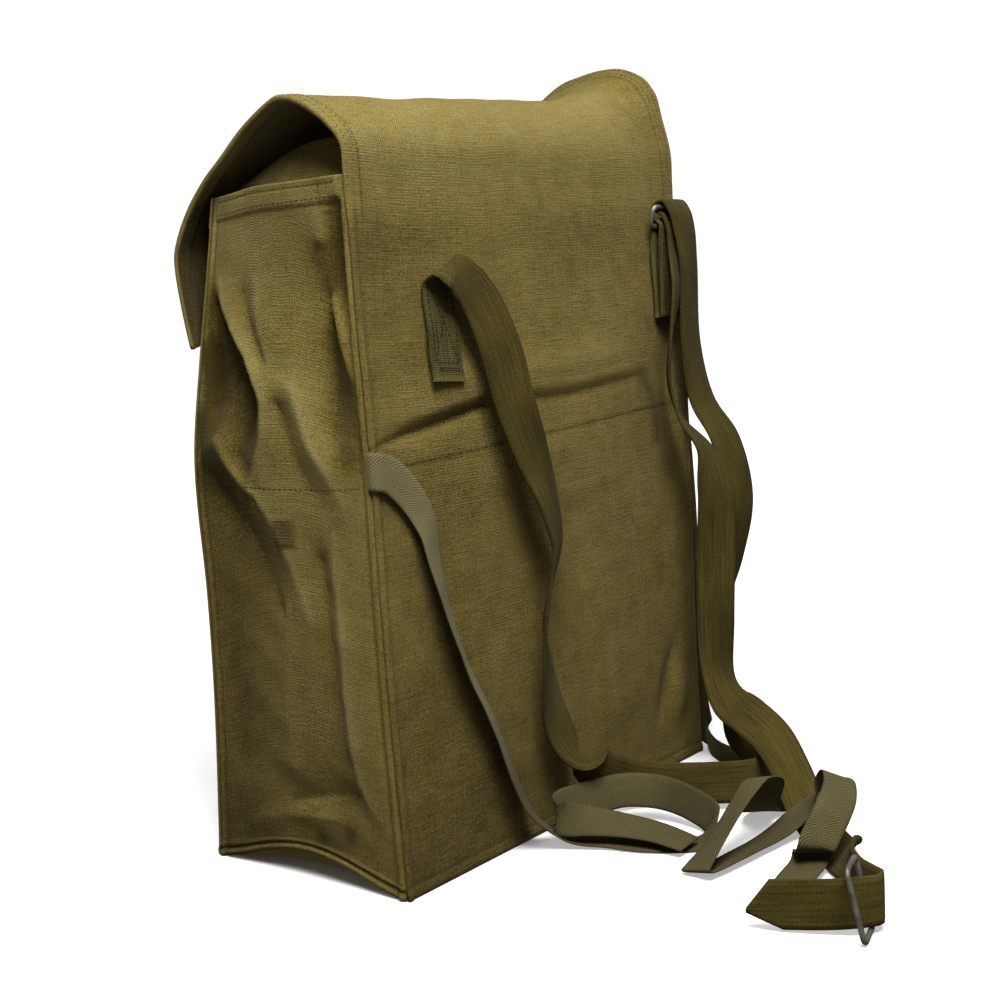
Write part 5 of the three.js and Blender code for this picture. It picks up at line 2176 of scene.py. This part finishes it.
@dataclass
class Bag:
    """The whole bag.

    Attributes:
        finishes: materials of the bag.
        stitch_side: how far from a strap's middle its stitches run.
    """

    finishes: Finishes = field(default_factory=Finishes)
    stitch_side: float = 8.6

    def __post_init__(self) -> None:
        """Prepares the panels and the stitches."""
        self.stitches = Stitches("stitches_body", 0.45)
        self.strap_stitches = Stitches("stitches_strap", 0.6)
        self.back = BackFlap(self.finishes, self.stitches)
        self.gusset = NearGusset(self.finishes, self.stitches)

    def build_cords(self) -> None:
        """Makes the strap, its chape and wire, and the two tapes."""
        wide, high = np.array([[1.0, 0.0, 0.0], [0.0, 3.0, 10.5]])
        ring = WireLoop("strap_ring", (-120, 68.9, 320.25), wide, high, (31, 10.92), 2.8)
        ring.build(self.finishes.wire)
        wide, high = direction(np.array([15.0, -90.0]), np.array([0.0, 77.0]))
        loop = WireLoop("strap_loop", (65.7, 265.4, 17.2), wide, high, (19.4, 31.5), 2.6)
        on_strap = loop.build(self.finishes.wire)
        strap, path = Ribbon(
            "shoulder_strap", STRAP_ROUTE, STRAP_WIDTH, STRAP_THICK, Slot.WEBBING,
            cut=(4.8, 15, -0.26), sewn=54.0, tone_near_floor=-0.2,
        ).build(self.back, self.finishes.webbing)
        self.declare(strap, path, [on_strap])
        self.sew_patch(path)
        chape = Ribbon(
            "ring_chape", CHAPE_ROUTE, STRAP_WIDTH, STRAP_THICK, Slot.WEBBING, sewn=500.0, cup=0.1
        )
        self.sew_chape(chape.build(self.back, self.finishes.webbing)[1])
        for name, route in (("tape_near", TAPE_NEAR_ROUTE), ("tape_far", TAPE_FAR_ROUTE)):
            tape = Ribbon(name, route, TAPE_WIDTH, TAPE_THICK, Slot.TAPE, cup=0.5, tone_near_floor=0.5)
            self.declare(*tape.build(self.back, self.finishes.tape), [])

    @staticmethod
    def declare(cord: Piece, path: RibbonPath, pieces: list[Piece]) -> None:
        """Logs a ribbon's length.

        Args:
            cord: the ribbon.
            path: its path.
            pieces: separate pieces on it; not used.
        """
        LOG.info("%s is %.0f mm long", cord.name, path.along[-1])

    def patch_line(self, path: RibbonPath, corners: Line, face: float, pitch: float) -> None:
        """Sews a line on a ribbon, through corners given across and along it.

        Args:
            path: path of the ribbon.
            corners: places across and along the ribbon in millimetres.
            face: 1 or -1, the side of the ribbon.
            pitch: distance from stitch to stitch.
        """
        marks = np.array(corners, float)
        lengths = lengths_along(marks)
        over, along = read_along(np.linspace(0, lengths[-1], max(int(lengths[-1]), 2)), lengths, marks).T
        centre, across, normal = (
            read_along(along, path.along, values) for values in (path.centre, path.across, path.normal)
        )
        out = unit(normal) * face
        self.strap_stitches.row(centre + across * over[:, None] + out * path.thick / 2, out, pitch)

    def sew_box(self, path: RibbonPath, face: float, low: float, high: float, pitch: float) -> None:
        """Sews a frame with a cross in it on a ribbon.

        Args:
            path: path of the ribbon.
            face: 1 or -1, the side of the ribbon.
            low: where the frame starts along the ribbon.
            high: where it ends.
            pitch: distance from stitch to stitch.
        """
        side = self.stitch_side
        corners = ((-side, low), (side, low), (side, high), (-side, high), (-side, low))
        for line in (corners, (corners[0], corners[2]), (corners[1], corners[3])):
            self.patch_line(path, line, face, pitch)

    @staticmethod
    def outer_face(path: RibbonPath, section: int) -> float:
        """The side of a ribbon that looks away from the bag, 1 or -1."""
        return 1.0 if path.normal[section][1] > 0 else -1.0

    def sew_patch(self, path: RibbonPath) -> None:
        """Sews the strap's patch: a frame, a cross, and a bar near the end.

        Args:
            path: path of the strap.
        """
        face = self.outer_face(path, 20)
        self.sew_box(path, face, 9.0, 50.0, FLAP_PITCH)
        for along in (5.2, 6.4):
            self.patch_line(path, ((-self.stitch_side, along), (self.stitch_side, along)), face, 2.2)

    def sew_chape(self, path: RibbonPath) -> None:
        """Sews the chape's outer leg in a frame and a cross."""
        end = path.along[-1]
        self.sew_box(path, self.outer_face(path, -10), end - 42.0, end - 5.0, SEAM_PITCH)

    def build_cloth(self) -> None:
        """Makes the panels and their stitches."""
        self.back.build((272, 562))
        FrontPanel(self.finishes, self.stitches).build((272, 340))
        self.gusset.build((130, 342))
        FarGusset(self.finishes, self.stitches).build((128, 342))
        BottomPanel(self.finishes, self.stitches).build((130, 266))
        ThroatFlap(self.finishes, self.stitches, gusset=self.gusset).build((76, 38))
        self.stitches.build(self.finishes.thread, Slot.CANVAS)
        self.strap_stitches.build(self.finishes.dark_thread, Slot.WEBBING)


# Stage


@dataclass(frozen=True)
class Studio:
    """Camera, floor and light.

    Attributes:
        position: place of the camera in metres.
        azimuth: direction that the camera looks in.
        pitch: how far it looks up.
        roll: how far it is turned on its axis.
        lens: focal length on a film 36 mm wide.
        footprint: half the length and width of the bag's base, under which the floor's glow is cut out as
            a painted shadow.
    """

    position: Triple = (0.647, 0.552, 0.284)
    azimuth: float = 218.91
    pitch: float = -7.64
    roll: float = -3.79
    lens: float = 55.8
    footprint: Pair = (0.134, 0.066)

    def camera(self) -> None:
        """Makes the camera at the photograph's place."""
        data = bpy.data.cameras.new("camera")
        data.lens = self.lens
        data.sensor_width = 36.0
        data.sensor_fit = "HORIZONTAL"
        data.clip_start = 0.01
        made = bpy.data.objects.new("camera", data)
        bpy.context.scene.collection.objects.link(made)
        forward = Vector(direction(np.array(self.azimuth), np.array(self.pitch)))
        turn = forward.to_track_quat("-Z", "Y") @ Quaternion((0, 0, 1), math.radians(self.roll))
        made.rotation_mode = "QUATERNION"
        made.rotation_quaternion = turn
        made.location = self.position
        bpy.context.scene.camera = made

    def floor(self) -> None:
        """Makes the plain pale floor, whose glow is painted light that grows away from the bag and is cut
        out under its base as a painted contact shadow.
        """
        shader = Shader("floor")
        place = shader.node("ShaderNodeTexCoord").outputs["Object"]
        far = shader.node("ShaderNodeVectorMath", operation="LENGTH")
        shader.feed(far.inputs[0], place)
        glow = shader.total(shader.times(shader.ramp(far.outputs["Value"], 0.3, 1.6), 0.62), 0.38)
        split = shader.node("ShaderNodeSeparateXYZ")
        shader.feed(split.inputs[0], place)
        sides = zip(split.outputs, self.footprint)
        beyond = [shader.total(shader.math("ABSOLUTE", at), -half) for at, half in sides]
        # Painted contact shadow: the glow is cut out under the bag's base
        painted_shadow_mask = shader.ramp(shader.math("MAXIMUM", *beyond), -0.004, 0.012)
        shader.plain(Base_Color=(0.85, 0.85, 0.85, 1), Roughness=0.9, Specular_IOR_Level=0.1)
        shader.plain(Emission_Color=(1, 1, 1, 1))
        shader.feed(shader.surface.inputs["Emission Strength"], shader.times(glow, painted_shadow_mask))
        half = 6.0
        corners = [(-half, -half, 0), (half, -half, 0), (half, half, 0), (-half, half, 0)]
        self.stage("floor", corners, [[0, 1, 2, 3]], shader.material)

    def backdrop(self) -> None:
        """Makes the white wall all round, far from the bag."""
        shader = Shader("backdrop")
        shader.plain(Base_Color=(0, 0, 0, 1), Emission_Color=(1, 1, 1, 1), Emission_Strength=1.05)
        sides, radius, height = 48, 4.0, 5.0
        turn = np.arange(sides) / sides * 2 * np.pi
        ring = np.stack([radius * np.cos(turn), radius * np.sin(turn), np.full(sides, -0.01)], -1)
        corners = np.concatenate([ring, ring + [0, 0, height]]).tolist()
        faces = [[k, (k + 1) % sides, sides + (k + 1) % sides, sides + k] for k in range(sides)]
        self.stage("backdrop", corners, faces, shader.material)

    @staticmethod
    def stage(name: str, corners: Line, faces: Faces, material: Material) -> None:
        """Adds a plain object that isn't part of the bag and casts no light on it.

        Args:
            name: name of the object.
            corners: its points.
            faces: point numbers of its faces.
            material: its material.
        """
        mesh = bpy.data.meshes.new(name)
        mesh.from_pydata(corners, [], faces)
        mesh.materials.append(material)
        made = bpy.data.objects.new(name, mesh)
        made.visible_diffuse = False
        made.visible_glossy = False
        made.visible_shadow = False
        bpy.context.scene.collection.objects.link(made)

    @staticmethod
    def lamp(name: str, place: Sequence[float], aim: Sequence[float], size: float, power: float) -> None:
        """Adds a square soft light.

        Args:
            name: name of the light.
            place: where it stands.
            aim: point that it faces.
            size: length of its sides.
            power: power in watts.
        """
        data = bpy.data.lights.new(name, "AREA")
        data.shape = "SQUARE"
        data.size = size
        data.energy = power
        made = bpy.data.objects.new(name, data)
        bpy.context.scene.collection.objects.link(made)
        made.location = place
        made.rotation_mode = "QUATERNION"
        made.rotation_quaternion = (Vector(aim) - Vector(place)).to_track_quat("-Z", "Y")

    def light(self) -> None:
        """Sets the soft light of the studio."""
        scene = bpy.context.scene
        world = bpy.data.worlds.new("studio")
        world.use_nodes = True
        background = world.node_tree.nodes["Background"]
        background.inputs["Color"].default_value = (1, 1, 1, 1)
        background.inputs["Strength"].default_value = 0.2
        scene.world = world
        scene.view_settings.view_transform = "Standard"
        middle = (0.0, 0.02, 0.2)
        self.lamp("key", (0.5, 0.62, 1.28), middle, 0.6, 30.0)
        self.lamp("top", (0.0, 0.1, 1.6), middle, 1.2, 6.0)


def main() -> None:
    """Builds the studio and the bag."""
    logging.basicConfig(level=logging.INFO, format="%(name)s %(message)s")
    studio = Studio()
    studio.camera()
    bag = Bag()
    bag.build_cords()
    bag.build_cloth()
    studio.floor()
    studio.backdrop()
    studio.light()


if __name__ == "__main__":
    main()
